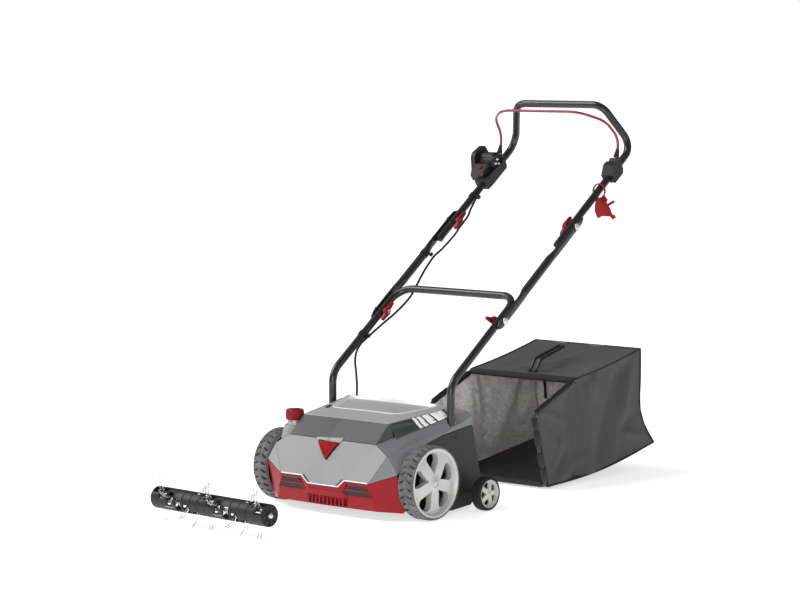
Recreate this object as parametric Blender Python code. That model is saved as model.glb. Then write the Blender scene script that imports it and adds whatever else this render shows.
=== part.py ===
"""Electric lawn dethatcher: housing and covers, wheels, rollers and drive, folding handle with its
switch, catcher bag pulled off behind, and the spare spring-tine roller on the ground in front.

Metres, +Z up, +Y to the rear, +X to the machine's right. Sizes below are measured from the front
axle; the empty called machine then moves the whole model so that its box is centred on the origin.
"""

import math

import bmesh
import bpy
import numpy as np
from mathutils import Matrix, Vector

for old in list(bpy.data.objects):
    bpy.data.objects.remove(old, do_unlink=True)

# ---- driving dimensions ----
gap = 0.0003            # between pieces that touch
front_reach = 0.5182    # foremost tine tip of the spare roller, ahead of the front axle
rear_reach = 1.0070     # rearmost point of the bag, behind the front axle

front_wheel = dict(radius=0.090, rim=0.083, inner=0.215, outer=0.261, y=0.0, z=0.090, bore=0.0063)
rear_wheel = dict(radius=0.042, rim=0.0345, inner=0.240, outer=0.268, y=0.195, z=0.042, bore=0.0053)

wall_x = 0.210          # outer face of the housing's side walls
wall_inner_x = 0.205
roller_y, roller_z = 0.095, 0.074
chamber_radius = 0.072
blade_reach, blade_count = 0.058, 12
motor_y, motor_z = 0.015, 0.160
motor_radius, pulley_small, pulley_large = 0.037, 0.010, 0.0245
carrier_y, carrier_z = -0.045, 0.088
belt_out_x, belt_in_x = -0.2035, -0.1925
flap_y, flap_z = 0.199, 0.197

tube_radius = 0.0098
handle_x = 0.194
slope = math.atan2(0.6031, 0.7977)      # the handle's angle from the ground
along = Vector((0, math.cos(slope), math.sin(slope)))
above = Vector((0, -math.sin(slope), math.cos(slope)))
handle_foot = Vector((0, 0.1335, 0.3105))   # where the handle tubes bend, in the side view
lower_bolt_y, upper_bolt_y = 0.321, 0.611

bail_y, bail_z = 0.7965, 0.830
cable_radius = 0.003
knob_x, knob_y = -0.172, -0.030
gland_at = (-0.163, 0.190)

bag_x = 0.171
bag_rod = 0.0065
spare_centre = Vector((-0.036, -0.4555, 0.0605))
spare_yaw = math.radians(-3.4)
spare_half = 0.194
spare_segments = 14


def handle_point(y):
    """A point of the handle's centre line in the side view."""
    return handle_foot + along * ((y - handle_foot.y) / along.y)


# ---- materials ----
def material(name, colour, roughness, metallic=0.0):
    made = bpy.data.materials.new(name)
    made.use_nodes = True
    shader = made.node_tree.nodes["Principled BSDF"]
    shader.inputs["Base Color"].default_value = (*colour, 1.0)
    shader.inputs["Roughness"].default_value = roughness
    shader.inputs["Metallic"].default_value = metallic
    return made


light_grey = material("light_grey_plastic", (0.45, 0.46, 0.47), 0.45)
slate_grey = material("slate_grey_plastic", (0.10, 0.11, 0.12), 0.45)
dark_grey = material("dark_grey_plastic", (0.035, 0.036, 0.038), 0.55)
black_plastic = material("black_plastic", (0.015, 0.015, 0.016), 0.5)
red_plastic = material("red_plastic", (0.45, 0.02, 0.03), 0.35)
rim_white = material("rim_silver_white", (0.72, 0.72, 0.70), 0.35)
tyre_rubber = material("tyre_rubber", (0.06, 0.06, 0.062), 0.8)
tube_black = material("tube_black", (0.012, 0.012, 0.013), 0.25)
bright_steel = material("bright_steel", (0.6, 0.6, 0.62), 0.3, 1.0)
motor_steel = material("motor_steel", (0.35, 0.35, 0.36), 0.45, 0.9)
bag_cloth = material("bag_cloth", (0.03, 0.03, 0.032), 0.8)


# ---- placing ----
def empty(name, place, parent=None):
    made = bpy.data.objects.new(name, None)
    bpy.context.scene.collection.objects.link(made)
    made.location = place
    made.parent = parent
    return made


machine = empty("machine", (0, (front_reach - rear_reach) / 2, 0))


def pivot(name, y, z, x=0.0):
    """An empty on a joint's axis, in the machine's frame."""
    return empty(name, (x, y, z), machine)


def add(name, data, colour, parent=machine):
    """A named object whose data is drawn in the machine's frame, hung on the given empty."""
    made = bpy.data.objects.new(name, data)
    bpy.context.scene.collection.objects.link(made)
    if parent is not machine:
        data.transform(Matrix.Translation(-parent.location))
    made.parent = parent
    data.materials.append(colour)
    return made


def mesh_from(bm, smooth_angle=0.6):
    bmesh.ops.recalc_face_normals(bm, faces=bm.faces)
    mesh = bpy.data.meshes.new("part")
    bm.to_mesh(mesh)
    bm.free()
    mesh.shade_smooth()
    mesh.set_sharp_from_angle(angle=smooth_angle)
    return mesh


def cutter(bm, parent=machine):
    """A helper for a Boolean: it isn't part of the model."""
    made = add("cutter", mesh_from(bm), black_plastic, parent)
    made.hide_render = True
    made.display_type = "WIRE"
    return made


def boolean(piece, other, operation):
    step = piece.modifiers.new(operation.lower(), "BOOLEAN")
    step.operation = operation
    step.solver = "EXACT"
    step.object = other
    return piece


def cut(piece, *shapes, parent=machine):
    for shape in shapes:
        boolean(piece, cutter(shape, parent), "DIFFERENCE")
    return piece


def join(piece, *shapes, parent=machine):
    for shape in shapes:
        boolean(piece, cutter(shape, parent), "UNION")
    return piece


# ---- shapes, each returned as a bmesh ----
def ring_faces(bm, rings, closed):
    """Bridges rings of vertices; a ring of one vertex is a pole."""
    pairs = zip(rings, rings[1:] + rings[:1]) if closed else zip(rings, rings[1:])
    for first, second in pairs:
        count = max(len(first), len(second))
        for i in range(count):
            a, b = first[i % len(first)], first[(i + 1) % len(first)]
            c, d = second[(i + 1) % len(second)], second[i % len(second)]
            corners = [a, b, c, d]
            bm.faces.new([v for n, v in enumerate(corners) if v not in corners[:n]])


def turned(profile, y, z, closed=True, segments=20):
    """A profile of (x, radius) points turned about the X axis through y, z."""
    bm = bmesh.new()
    rings = []
    for x, radius in profile:
        if radius == 0:
            rings.append([bm.verts.new((x, y, z))])
            continue
        turns = [math.tau * i / segments for i in range(segments)]
        rings.append([bm.verts.new((x, y + radius * math.cos(t), z + radius * math.sin(t))) for t in turns])
    ring_faces(bm, rings, closed)
    return bm


def rod_x(y, z, radius, x0, x1, segments=16):
    return turned([(x0, 0), (x0, radius), (x1, radius), (x1, 0)], y, z, False, segments)


def prism_x(outline, x0, x1):
    """An outline of (y, z) points drawn out along X."""
    bm = bmesh.new()
    ends = [[bm.verts.new((x, y, z)) for y, z in outline] for x in (x0, x1)]
    ring_faces(bm, ends, False)
    for end in ends:
        bm.faces.new(end)
    return bm


def prism_y(outline, y0, y1):
    """An outline of (x, z) points drawn out along Y."""
    bm = bmesh.new()
    ends = [[bm.verts.new((x, y, z)) for x, z in outline] for y in (y0, y1)]
    ring_faces(bm, ends, False)
    for end in ends:
        bm.faces.new(end)
    return bm


def prism_z(outline, z0, z1):
    """An outline of (x, y) points drawn out along Z."""
    bm = bmesh.new()
    ends = [[bm.verts.new((x, y, z)) for x, y in outline] for z in (z0, z1)]
    ring_faces(bm, ends, False)
    for end in ends:
        bm.faces.new(end)
    return bm


def box(x0, x1, y0, y1, z0, z1):
    return prism_x([(y0, z0), (y1, z0), (y1, z1), (y0, z1)], x0, x1)


def add_box(bm, matrix, size):
    bmesh.ops.create_cube(bm, size=1.0, matrix=matrix @ Matrix.Diagonal((*size, 1.0)))


def loft(rings):
    bm = bmesh.new()
    made = [[bm.verts.new(point) for point in ring] for ring in rings]
    ring_faces(bm, made, False)
    bm.faces.new(made[0])
    bm.faces.new(made[-1])
    return bm


def cone_between(start, end, r0, r1, segments=12):
    axis = (end - start).normalized()
    side = axis.cross(Vector((0, 1, 0)) if abs(axis.y) < 0.9 else Vector((1, 0, 0))).normalized()
    other = axis.cross(side)
    turns = [math.tau * i / segments for i in range(segments)]
    return loft([[p + (side * math.cos(t) + other * math.sin(t)) * r for t in turns]
                 for p, r in ((start, r0), (end, r1))])


def arc(y, z, radius, first, last, steps):
    """Points on a circle in the side view, angles in degrees."""
    turns = [math.radians(first + (last - first) * i / steps) for i in range(steps + 1)]
    return [(y + radius * math.cos(t), z + radius * math.sin(t)) for t in turns]


def rounded(points, radius, steps=5, closed=False):
    """A path through corner points, each corner replaced by an arc of the given radius."""
    points = [Vector(p) for p in points]
    radii = radius if isinstance(radius, (list, tuple)) else [radius] * len(points)
    path = []
    for i, here in enumerate(points):
        if not closed and i in (0, len(points) - 1):
            path.append(here)
            continue
        back = (points[i - 1] - here).normalized()
        ahead = (points[(i + 1) % len(points)] - here).normalized()
        half = back.angle(ahead) / 2
        centre = here + (back + ahead).normalized() * (radii[i] / math.sin(half))
        start = here + back * (radii[i] / math.tan(half)) - centre
        end = here + ahead * (radii[i] / math.tan(half)) - centre
        path += [centre + start.slerp(end, k / steps) * radii[i] for k in range(steps + 1)]
    return path


def swept(path, radius, sides=8, closed=False):
    """A round bar along a path: each ring of points lies square to the path's bend there."""
    bm = bmesh.new()
    steps = [(b - a).normalized() for a, b in zip(path, path[1:] + path[:1])]
    if not closed:
        steps[-1] = steps[-2]
    before = [steps[-1] if closed else steps[0]] + steps[:-1]
    across = steps[0].orthogonal().normalized()
    rings = []
    for point, one, two in zip(path, before, steps):
        ahead = (one + two).normalized()
        across = (across - ahead * across.dot(ahead)).normalized()
        other = ahead.cross(across)
        turns = [math.tau * i / sides for i in range(sides)]
        rings.append([bm.verts.new(point + (across * math.cos(t) + other * math.sin(t)) * radius) for t in turns])
    ring_faces(bm, rings, closed)
    if not closed:
        bm.faces.new(rings[0])
        bm.faces.new(rings[-1])
    return bm


def mirrored(points):
    return [Vector((-p[0], p[1], p[2])) for p in points]


# ---- outer skin: hood, band, cover, shoulders and bumper share one net of corners ----
skin_thickness = 0.0022
seam = 0.0005
right_corners = {
    "cover_front_mid": (0, -0.046, 0.2295), "cover_front": (0.139, -0.032, 0.226),
    "band_low_mid": (0, -0.096, 0.1835), "band_low": (0.141, -0.081, 0.181),
    "cover_side": (0.163, 0.112, 0.243), "band_side": (0.180, 0.112, 0.229),
    "cover_rear": (0.172, 0.165, 0.252), "cover_rear_mid": (0, 0.168, 0.254),
    "fold": (0.182, -0.088, 0.157), "roof_corner": (0.2105, 0.197, 0.229),
    "roof_rear": (0.186, 0.206, 0.238), "roof_rear_mid": (0, 0.209, 0.243),
    "hood_low_mid": (0, -0.119, 0.072), "hood_step_low": (0.050, -0.118, 0.072),
    "hood_step_high": (0.070, -0.1165, 0.089), "hood_low": (0.1425, -0.113, 0.0885),
    "side_end": (0.212, -0.0855, 0.114),
    "lip_1": (0.2108, 0.197, 0.208), "lip_2": (0.2106, 0.085, 0.193), "lip_3": (0.2106, 0.024, 0.178),
    "lip_4": (0.2108, -0.025, 0.156), "lip_5": (0.2112, -0.063, 0.134),
    "bumper_low_mid": (0, -0.113, 0.024), "bumper_low_inner": (0.062, -0.111, 0.024),
    "bumper_low": (0.160, -0.103, 0.023), "bumper_end": (0.2135, -0.061, 0.019),
    "panel_front_mid": (0, -0.022, 0.2318), "panel_front": (0.112, -0.012, 0.2290),
    "panel_side": (0.137, 0.098, 0.2425), "panel_rear": (0.120, 0.143, 0.2490),
    "panel_rear_mid": (0, 0.146, 0.2510),
    "floor_front_mid": (0, -0.014, 0.2275), "floor_front": (0.104, -0.004, 0.2250),
    "floor_side": (0.128, 0.095, 0.2380), "floor_rear": (0.113, 0.136, 0.2440),
    "floor_rear_mid": (0, 0.138, 0.2460),
}
corners = {}
for name, place in right_corners.items():
    corners[name] = np.array(place)
    if place[0]:
        corners["left_" + name] = np.array((-place[0], place[1], place[2]))


def both_sides(faces):
    """Right-hand faces and their mirror images, wound so that both face out."""
    left = [[("left_" + n if "left_" + n in corners else n) for n in reversed(face)] for face in faces]
    return faces + left


hood_faces = both_sides([
    ["band_low_mid", "hood_low_mid", "hood_step_low", "hood_step_high"],
    ["band_low_mid", "hood_step_high", "hood_low", "band_low"],
    ["band_low", "hood_low", "fold"],
])
band_faces = both_sides([
    ["cover_front_mid", "band_low_mid", "band_low", "cover_front"],
    ["cover_front", "band_low", "band_side", "cover_side"],
])
cover_faces = both_sides([
    ["panel_front_mid", "cover_front_mid", "cover_front", "panel_front"],
    ["panel_front", "cover_front", "cover_side", "panel_side"],
    ["panel_side", "cover_side", "cover_rear", "panel_rear"],
    ["panel_rear", "cover_rear", "cover_rear_mid", "panel_rear_mid"],
    ["floor_front_mid", "panel_front_mid", "panel_front", "floor_front"],
    ["floor_front", "panel_front", "panel_side", "floor_side"],
    ["floor_side", "panel_side", "panel_rear", "floor_rear"],
    ["floor_rear", "panel_rear", "panel_rear_mid", "floor_rear_mid"],
    ["floor_front_mid", "floor_front", "floor_side", "floor_rear", "floor_rear_mid"],
    ["cover_side", "band_side", "roof_rear", "cover_rear"],
    ["cover_rear", "roof_rear", "roof_rear_mid", "cover_rear_mid"],
])
shoulder_faces = [
    ["band_low", "fold", "roof_corner", "band_side"],
    ["band_side", "roof_corner", "roof_rear"],
    ["hood_low", "side_end", "fold"],
    ["fold", "side_end", "lip_5"], ["fold", "lip_5", "lip_4"], ["fold", "lip_4", "lip_3"],
    ["fold", "lip_3", "roof_corner"], ["roof_corner", "lip_3", "lip_2"], ["roof_corner", "lip_2", "lip_1"],
]
bumper_faces = both_sides([
    ["hood_low_mid", "bumper_low_mid", "bumper_low_inner", "hood_step_low"],
    ["hood_step_low", "bumper_low_inner", "hood_step_high"],
    ["hood_step_high", "bumper_low_inner", "bumper_low", "hood_low"],
    ["hood_low", "bumper_low", "bumper_end", "side_end"],
])
skin_faces = hood_faces + band_faces + cover_faces + both_sides(shoulder_faces) + bumper_faces


def face_normal(names):
    points = [corners[n] for n in names]
    normal = sum(np.cross(a, b) for a, b in zip(points, points[1:] + points[:1]))
    return normal / np.linalg.norm(normal)


def inward(name):
    """How far a corner moves so that every face it touches is skin_thickness thick."""
    rows = np.array([face_normal(face) for face in skin_faces if name in face])
    moved = np.linalg.lstsq(rows, np.full(len(rows), -skin_thickness), rcond=0.08)[0]
    return moved


def seam_shift(name, faces):
    """How far a corner on a panel's edge draws back, in its faces, to leave the seam."""
    edges = {(a, b) for face in faces for a, b in zip(face, face[1:] + face[:1])}
    rows, goals = [], []
    for face in faces:
        if name not in face:
            continue
        normal = face_normal(face)
        rows.append(normal)
        goals.append(0.0)
        for a, b in zip(face, face[1:] + face[:1]):
            if name in (a, b) and (b, a) not in edges:
                across = np.cross(normal, corners[b] - corners[a])
                rows.append(across / np.linalg.norm(across))
                goals.append(seam)
    if not any(goals):
        return np.zeros(3)
    return np.linalg.lstsq(np.array(rows), np.array(goals), rcond=0.08)[0]


def panel(name, faces, colour):
    """One moulding of the skin: its outer faces, the same faces inside, and its edge."""
    bm = bmesh.new()
    names = sorted({n for face in faces for n in face})
    shifts = {n: seam_shift(n, faces) for n in names}
    outer = {n: bm.verts.new(corners[n] + shifts[n]) for n in names}
    inner = {n: bm.verts.new(corners[n] + shifts[n] + inward(n)) for n in names}
    edges = {(a, b) for face in faces for a, b in zip(face, face[1:] + face[:1])}
    for face in faces:
        bm.faces.new([outer[n] for n in face])
        bm.faces.new([inner[n] for n in reversed(face)])
    for a, b in edges:
        if (b, a) not in edges:
            bm.faces.new([outer[b], outer[a], inner[a], inner[b]])
    bmesh.ops.triangulate(bm, faces=bm.faces)
    return add(name, mesh_from(bm, 0.35), colour)


def hood():
    panel("hood_shell", hood_faces, light_grey)
    panel("window_band", band_faces, slate_grey)
    cover = panel("top_cover", cover_faces, light_grey)
    left = panel("shoulder_left", both_sides(shoulder_faces)[len(shoulder_faces):], slate_grey)
    right = panel("shoulder_right", shoulder_faces, slate_grey)
    cut(left, tube_pocket(-1), upright(knob_x, knob_y, 0.0179, 0.150, 0.24, 20))
    cut(right, tube_pocket(1))
    cut(cover, tube_pocket(-1), tube_pocket(1), upright(*gland_at, 0.0062, 0.22, 0.27))


def tube_pocket(side):
    """The slot in the shoulder that a handle tube stands in."""
    x0, x1 = sorted((side * 0.1835, side * 0.2045))
    return box(x0, x1, 0.1205, 0.1415 + 0.0030, 0.20, 0.27)


def upright(x, y, radius, z0, z1, segments=16):
    """A round rod along Z."""
    turns = [math.tau * i / segments for i in range(segments)]
    return loft([[(x + radius * math.cos(t), y + radius * math.sin(t), z) for t in turns] for z in (z0, z1)])


def bumper():
    made = panel("front_bumper", bumper_faces, red_plastic)
    slots = bmesh.new()
    for side in (-1, 1):
        for z, first, last in ((0.0775, 0.072, 0.136), (0.0635, 0.068, 0.138)):
            middle = Matrix.Translation((side * (first + last) / 2, -0.112, z))
            add_box(slots, middle, (last - first, 0.03, 0.0095))
    comb = bmesh.new()
    for i in range(-4, 4):
        add_box(comb, Matrix.Translation(((i + 0.5) * 0.0132, -0.112, 0.0355)), (0.0072, 0.03, 0.017))
    cut(made, slots, comb)
    for side, word in ((-1, "left"), (1, "right")):
        low, high = sorted((side * 0.063, side * 0.143))
        insert = [(low, 0.055), (high, 0.055), (high, 0.0855), (low, 0.0855)]
        grille = prism_y(insert, -0.1035, -0.1015)
        bmesh.ops.rotate(grille, verts=grille.verts, cent=(side * 0.103, -0.1025, 0.07),
                         matrix=Matrix.Rotation(side * 0.05, 3, "Z"))
        cut(add("vent_grille_" + word, mesh_from(grille), black_plastic), grille_slots(side))


def grille_slots(side):
    bm = bmesh.new()
    for i in range(5):
        for z in (0.0635, 0.0775):
            add_box(bm, Matrix.Translation((side * (0.076 + 0.0135 * i), -0.1025, z)), (0.0095, 0.03, 0.007))
    return bm


def badge():
    """A plain red triangle, standing just proud of the hood's front."""
    face = [(-0.037, 0.1775), (0.037, 0.1775), (0.004, 0.133), (-0.004, 0.133)]
    lean = math.atan2(0.023, 0.1115)
    made = prism_y(face, 0.0, 0.0045)
    for vert in made.verts:
        below = 0.1835 - vert.co.z
        vert.co.y = -0.0965 - 0.0048 - 0.0002 + vert.co.y - below * math.tan(lean)
    add("front_badge", mesh_from(made), red_plastic)


# ---- housing and what it holds ----
def housing():
    outline = [(0.197, 0.2062), (0.085, 0.1912), (0.024, 0.1760), (-0.025, 0.1540), (-0.060, 0.1320),
               (-0.075, 0.1130), (-0.075, 0.0290), (-0.058, 0.0240), (0.030, 0.0140), (0.119, 0.0040),
               (0.192, 0.0100), (0.222, 0.0440), (0.230, 0.0710)]
    base = add("base_housing", mesh_from(prism_x(outline, -wall_x, wall_x)), dark_grey)
    chamber = [(0.240, 0.0620), (0.172, 0.0500), (0.160, -0.01), (0.023, -0.01)]
    chamber += arc(roller_y, roller_z, chamber_radius, 180, 90, 8) + [(0.240, 0.165)]
    bay = [(-0.071, 0.0335), (0.014, 0.0280), (0.014, 0.0740)]
    bay += arc(roller_y, roller_z, chamber_radius + 0.005, 175, 92, 8)[1:]
    bay += [(0.180, 0.1740), (0.180, 0.26), (-0.071, 0.26)]
    rear = [(0.166, -0.01), (0.179, 0.0465), (0.216, 0.0530), (0.260, 0.0560), (0.260, -0.01)]
    back = [(0.188, 0.26), (0.260, 0.26), (0.260, 0.060), (0.2205, 0.0660), (0.188, 0.1600)]
    belt = arc(roller_y, roller_z, 0.031, -140, 40, 8) + arc(motor_y, motor_z, 0.022, 40, 220, 8)
    cut(base, prism_x(chamber, -0.187, wall_inner_x), prism_x(bay, -wall_inner_x, wall_inner_x),
        prism_x(rear, -wall_inner_x, wall_inner_x), prism_x(back, -wall_inner_x + 0.0002, wall_inner_x - 0.0002),
        prism_x(belt, -wall_inner_x + 0.0001, -0.190))
    cut(base, rod_x(roller_y, roller_z, 0.0128, -0.1955, -0.17), rod_x(roller_y, roller_z, 0.0128, 0.2, 0.22),
        rod_x(carrier_y, carrier_z, 0.0065, -0.22, 0.22), rod_x(flap_y, flap_z, 0.0035, -0.22, 0.22, 12),
        rod_x(rear_wheel["y"], rear_wheel["z"], 0.0054, -0.22, 0.22),
        box(-0.22, 0.22, -0.0105, 0.0105, 0.0765, 0.1035))
    foot_x, foot_y = handle_x, handle_foot.y
    for side in (-1, 1):
        join(base, box(*sorted((side * 0.1820, side * 0.2070)), foot_y - 0.0125, foot_y + 0.0125, 0.137, 0.196))
        cut(base, upright(side * foot_x, foot_y, tube_radius + 2 * gap, 0.1550, 0.25))
        cut(base, prism_z([(side * 0.170, -0.0913), (side * 0.2205, -0.0517), (side * 0.2205, -0.0913)], 0, 0.2))


def rollers():
    turning = pivot("blade_roller_axis", roller_y, roller_z)
    shaft = rod_x(roller_y, roller_z, 0.006, belt_out_x, 0.2085)
    blades = bmesh.new()
    outline = [(blade_reach, 0.004), (0.030, 0.012), (-0.030, 0.012), (-blade_reach, -0.004),
               (-0.030, -0.012), (0.030, -0.012)]
    for i in range(blade_count):
        x = -0.166 + i * 0.345 / (blade_count - 1)
        turn = Matrix.Rotation(math.radians(50 * i), 4, "X")
        points = [turn @ Vector((0, y, z)) for y, z in outline]
        ends = [[blades.verts.new((x + offset, roller_y + p.y, roller_z + p.z)) for p in points]
                for offset in (-0.001, 0.001)]
        ring_faces(blades, ends, False)
        for end in ends:
            blades.faces.new(end)
    made = add("blade_roller", mesh_from(shaft), motor_steel, turning)
    join(made, rod_x(roller_y, roller_z, 0.019, -0.176, 0.193, 12), blades)
    add("roller_pulley", mesh_from(turned([(belt_out_x, 0.0063), (belt_out_x, pulley_large), (belt_in_x, pulley_large),
        (belt_in_x, 0.0063)], roller_y, roller_z)), black_plastic, turning)
    for word, x0, x1 in (("left", -0.1885, -0.1795), ("right", 0.1990, 0.2080)):
        add("roller_bearing_" + word, mesh_from(turned([(x0, 0.0063), (x0, 0.0125), (x1, 0.0125), (x1, 0.0063)],
            roller_y, roller_z)), bright_steel)


def motor():
    case = [(-0.150, 0), (-0.150, 0.020), (-0.144, motor_radius - 0.004), (-0.135, motor_radius),
            (0.060, motor_radius), (0.075, motor_radius - 0.004), (0.090, 0.020), (0.090, 0)]
    add("motor", mesh_from(turned(case, motor_y, motor_z, False)), motor_steel)
    turning = pivot("motor_axis", motor_y, motor_z)
    pulley = [(belt_out_x, 0), (belt_out_x, pulley_small), (belt_in_x, pulley_small), (belt_in_x, 0.004),
              (-0.150 - gap, 0.004), (-0.150 - gap, 0)]
    add("motor_pulley", mesh_from(turned(pulley, motor_y, motor_z, False, 24)), black_plastic, turning)
    reach = math.hypot(roller_y - motor_y, roller_z - motor_z)
    lean = math.degrees(math.atan2(roller_z - motor_z, roller_y - motor_y))
    open_by = math.degrees(math.acos((pulley_large - pulley_small) / reach))

    def loop(extra):
        near = arc(motor_y, motor_z, pulley_small + extra, lean + open_by, lean + 360 - open_by, 10)
        far = arc(roller_y, roller_z, pulley_large + extra, lean - open_by, lean + open_by, 10)
        return near + far

    belt = add("drive_belt", mesh_from(prism_x(loop(0.0034), -0.2025, -0.1935)), tyre_rubber)
    cut(belt, prism_x(loop(0.0010), -0.21, -0.19))


# ---- wheels and axles ----
def wheel(word, size, side, holder_name):
    """A tyre and a five-spoke rim on one hub; side is +1 on the machine's right."""
    axis = pivot(holder_name, size["y"], size["z"])
    y, z, radius, rim = size["y"], size["z"], size["radius"], size["rim"]
    inner, outer = size["inner"], size["outer"]
    width = outer - inner

    def turn(profile, segments):
        return turned([(side * x, r) for x, r in profile], y, z, True, segments)

    segments = 32 if radius > 0.06 else 20
    crown = radius * 0.03
    tyre = [(inner, rim + gap), (inner, radius - 2.2 * crown), (inner + width * 0.14, radius - 0.3 * crown),
            (inner + width * 0.35, radius), (outer - width * 0.35, radius), (outer - width * 0.14, radius - 0.3 * crown),
            (outer, radius - 2.2 * crown), (outer, rim + gap)]
    add(word + "_tyre", mesh_from(turn(tyre, segments)), tyre_rubber, axis)
    bore, wall = size["bore"], rim * 0.12
    web_out, web_in = outer - width * 0.16, outer - width * 0.32
    hub = rim * 0.24
    profile = [(inner + 0.004, rim), (outer - 0.0015, rim), (outer - 0.0015, rim - wall), (web_out, rim - wall * 1.5),
               (outer - width * 0.10, hub), (outer - width * 0.10, bore), (inner + 0.002, bore),
               (inner + 0.002, hub), (web_in, rim - wall * 1.5), (inner + 0.004, rim - wall)]
    made = add(word + "_rim", mesh_from(turn(profile, segments)), rim_white, axis)
    holes = bmesh.new()
    for i in range(5):
        middle = math.radians(90 + 72 * i + 20)
        outline = []
        for reach, half in ((0.37, 8), (0.58, 20), (0.775, 19)):
            outline.append((reach * rim, math.radians(half)))
        loop = [(r, middle + a) for r, a in outline] + [(r, middle - a) for r, a in reversed(outline)]
        ends = [[holes.verts.new((side * x, y + r * math.cos(a), z + r * math.sin(a))) for r, a in loop]
                for x in (inner - 0.01, outer + 0.01)]
        ring_faces(holes, ends, False)
        for end in ends:
            holes.faces.new(end)
    cut(made, holes)
    return axis


def running_gear():
    for side, word in ((-1, "left"), (1, "right")):
        wheel("front_" + word, front_wheel, side, "front_wheel_axis_" + word)
        wheel("rear_" + word, rear_wheel, side, "rear_wheel_axis_" + word)
    add("rear_axle", mesh_from(rod_x(rear_wheel["y"], rear_wheel["z"], 0.005, -0.2640, 0.2640)), bright_steel)
    carrier = pivot("carrier_axis", carrier_y, carrier_z)
    made = add("front_axle_carrier", mesh_from(rod_x(carrier_y, carrier_z, 0.006, -0.2098, 0.2098)),
               bright_steel, carrier)
    arms = []
    for side in (-1, 1):
        low, high = sorted((side * 0.194, side * 0.203))
        arms.append(prism_x(arc(carrier_y, carrier_z, 0.0095, 100, 260, 5)
                            + arc(0.0, front_wheel["z"], 0.0095, -85, 80, 5), low, high))
        low, high = sorted((side * 0.196, side * 0.2545))
        arms.append(rod_x(0.0, front_wheel["z"], 0.006, low, high))
    join(made, *arms)


# ---- depth knob, cable gland, flap ----
def knob():
    add("depth_scale_ring", mesh_from(upright(knob_x, knob_y, 0.0173, 0.1700, 0.2092, 20)), rim_white)
    axis = empty("depth_knob_axis", (knob_x, knob_y, 0.2097), machine)
    turns = [math.tau * i / 24 for i in range(24)]
    sections = ((0.2097, 0.0215), (0.2115, 0.0230), (0.2330, 0.0230), (0.2358, 0.0205))
    rings = [[(knob_x + radius * math.cos(t), knob_y + radius * math.sin(t), height) for t in turns]
             for height, radius in sections]
    add("depth_knob", mesh_from(loft(rings)), red_plastic, axis)


def gland():
    add("cable_gland", mesh_from(upright(*gland_at, 0.0058, 0.2265, 0.2490, 16)), black_plastic)


def flap():
    axis = pivot("rear_flap_axis", flap_y, flap_z)
    plate = [(0.1985, 0.1930), (0.2250, 0.0760), (0.2280, 0.0767), (0.2018, 0.1935)]
    made = add("rear_flap", mesh_from(rod_x(flap_y, flap_z, 0.0058, -0.183, 0.183)), black_plastic, axis)
    join(made, prism_x(plate, -0.183, 0.183), rod_x(flap_y, flap_z, 0.0032, -0.2095, 0.2095, 12))


# ---- handle ----
def lower_handle():
    base = Vector((handle_x, handle_foot.y, 0.1555))
    top = handle_point(0.393)
    side = [base, Vector((handle_x, handle_foot.y, handle_foot.z)), Vector((handle_x, top.y, top.z))]
    path = rounded(side + mirrored(reversed(side)), [0, 0.055, 0.047, 0.047, 0.055, 0])
    add("handle_lower", mesh_from(swept(path, tube_radius, 12)), tube_black)


def middle_handle(axis):
    """Straight tubes, pressed flat at both ends where they lie against the other tubes."""
    flat = (0.2084, 0.0037, 0.0125)
    round_middle = (0.2040, tube_radius, tube_radius)
    stations = [(0.2995, flat, 0.6), (0.3030, flat, 1.0), (0.3880, flat, 1.0),
                (0.4120, round_middle, 1.0), (0.5060, round_middle, 1.0), (0.5330, flat, 1.0),
                (0.6340, flat, 1.0), (0.6385, flat, 0.6)]
    turns = [math.tau * i / 16 for i in range(16)]
    for side, word in ((-1, "left"), (1, "right")):
        rings = []
        for y, (x, wide, high), share in stations:
            centre = handle_point(y)
            rings.append([Vector((side * (x + wide * math.cos(t)), centre.y, centre.z))
                          + above * (high * share * math.sin(t)) for t in turns])
        add("handle_middle_" + word, mesh_from(loft(rings)), tube_black, axis)


def upper_handle(axis):
    start = handle_point(0.552)
    bend = handle_point(0.871)
    side = [Vector((handle_x, start.y, start.z)), Vector((handle_x, bend.y, bend.z)),
            Vector((0.141, 0.807, 0.9765))]
    path = rounded(side + mirrored(reversed(side)), [0, 0.045, 0.042, 0.042, 0.045, 0])
    add("handle_loop", mesh_from(swept(path, tube_radius, 12)), tube_black, axis)


def in_handle(origin, s, n):
    """A side-view point given along and above the handle's line."""
    point = origin + along * s + above * n
    return (point.y, point.z)


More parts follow.
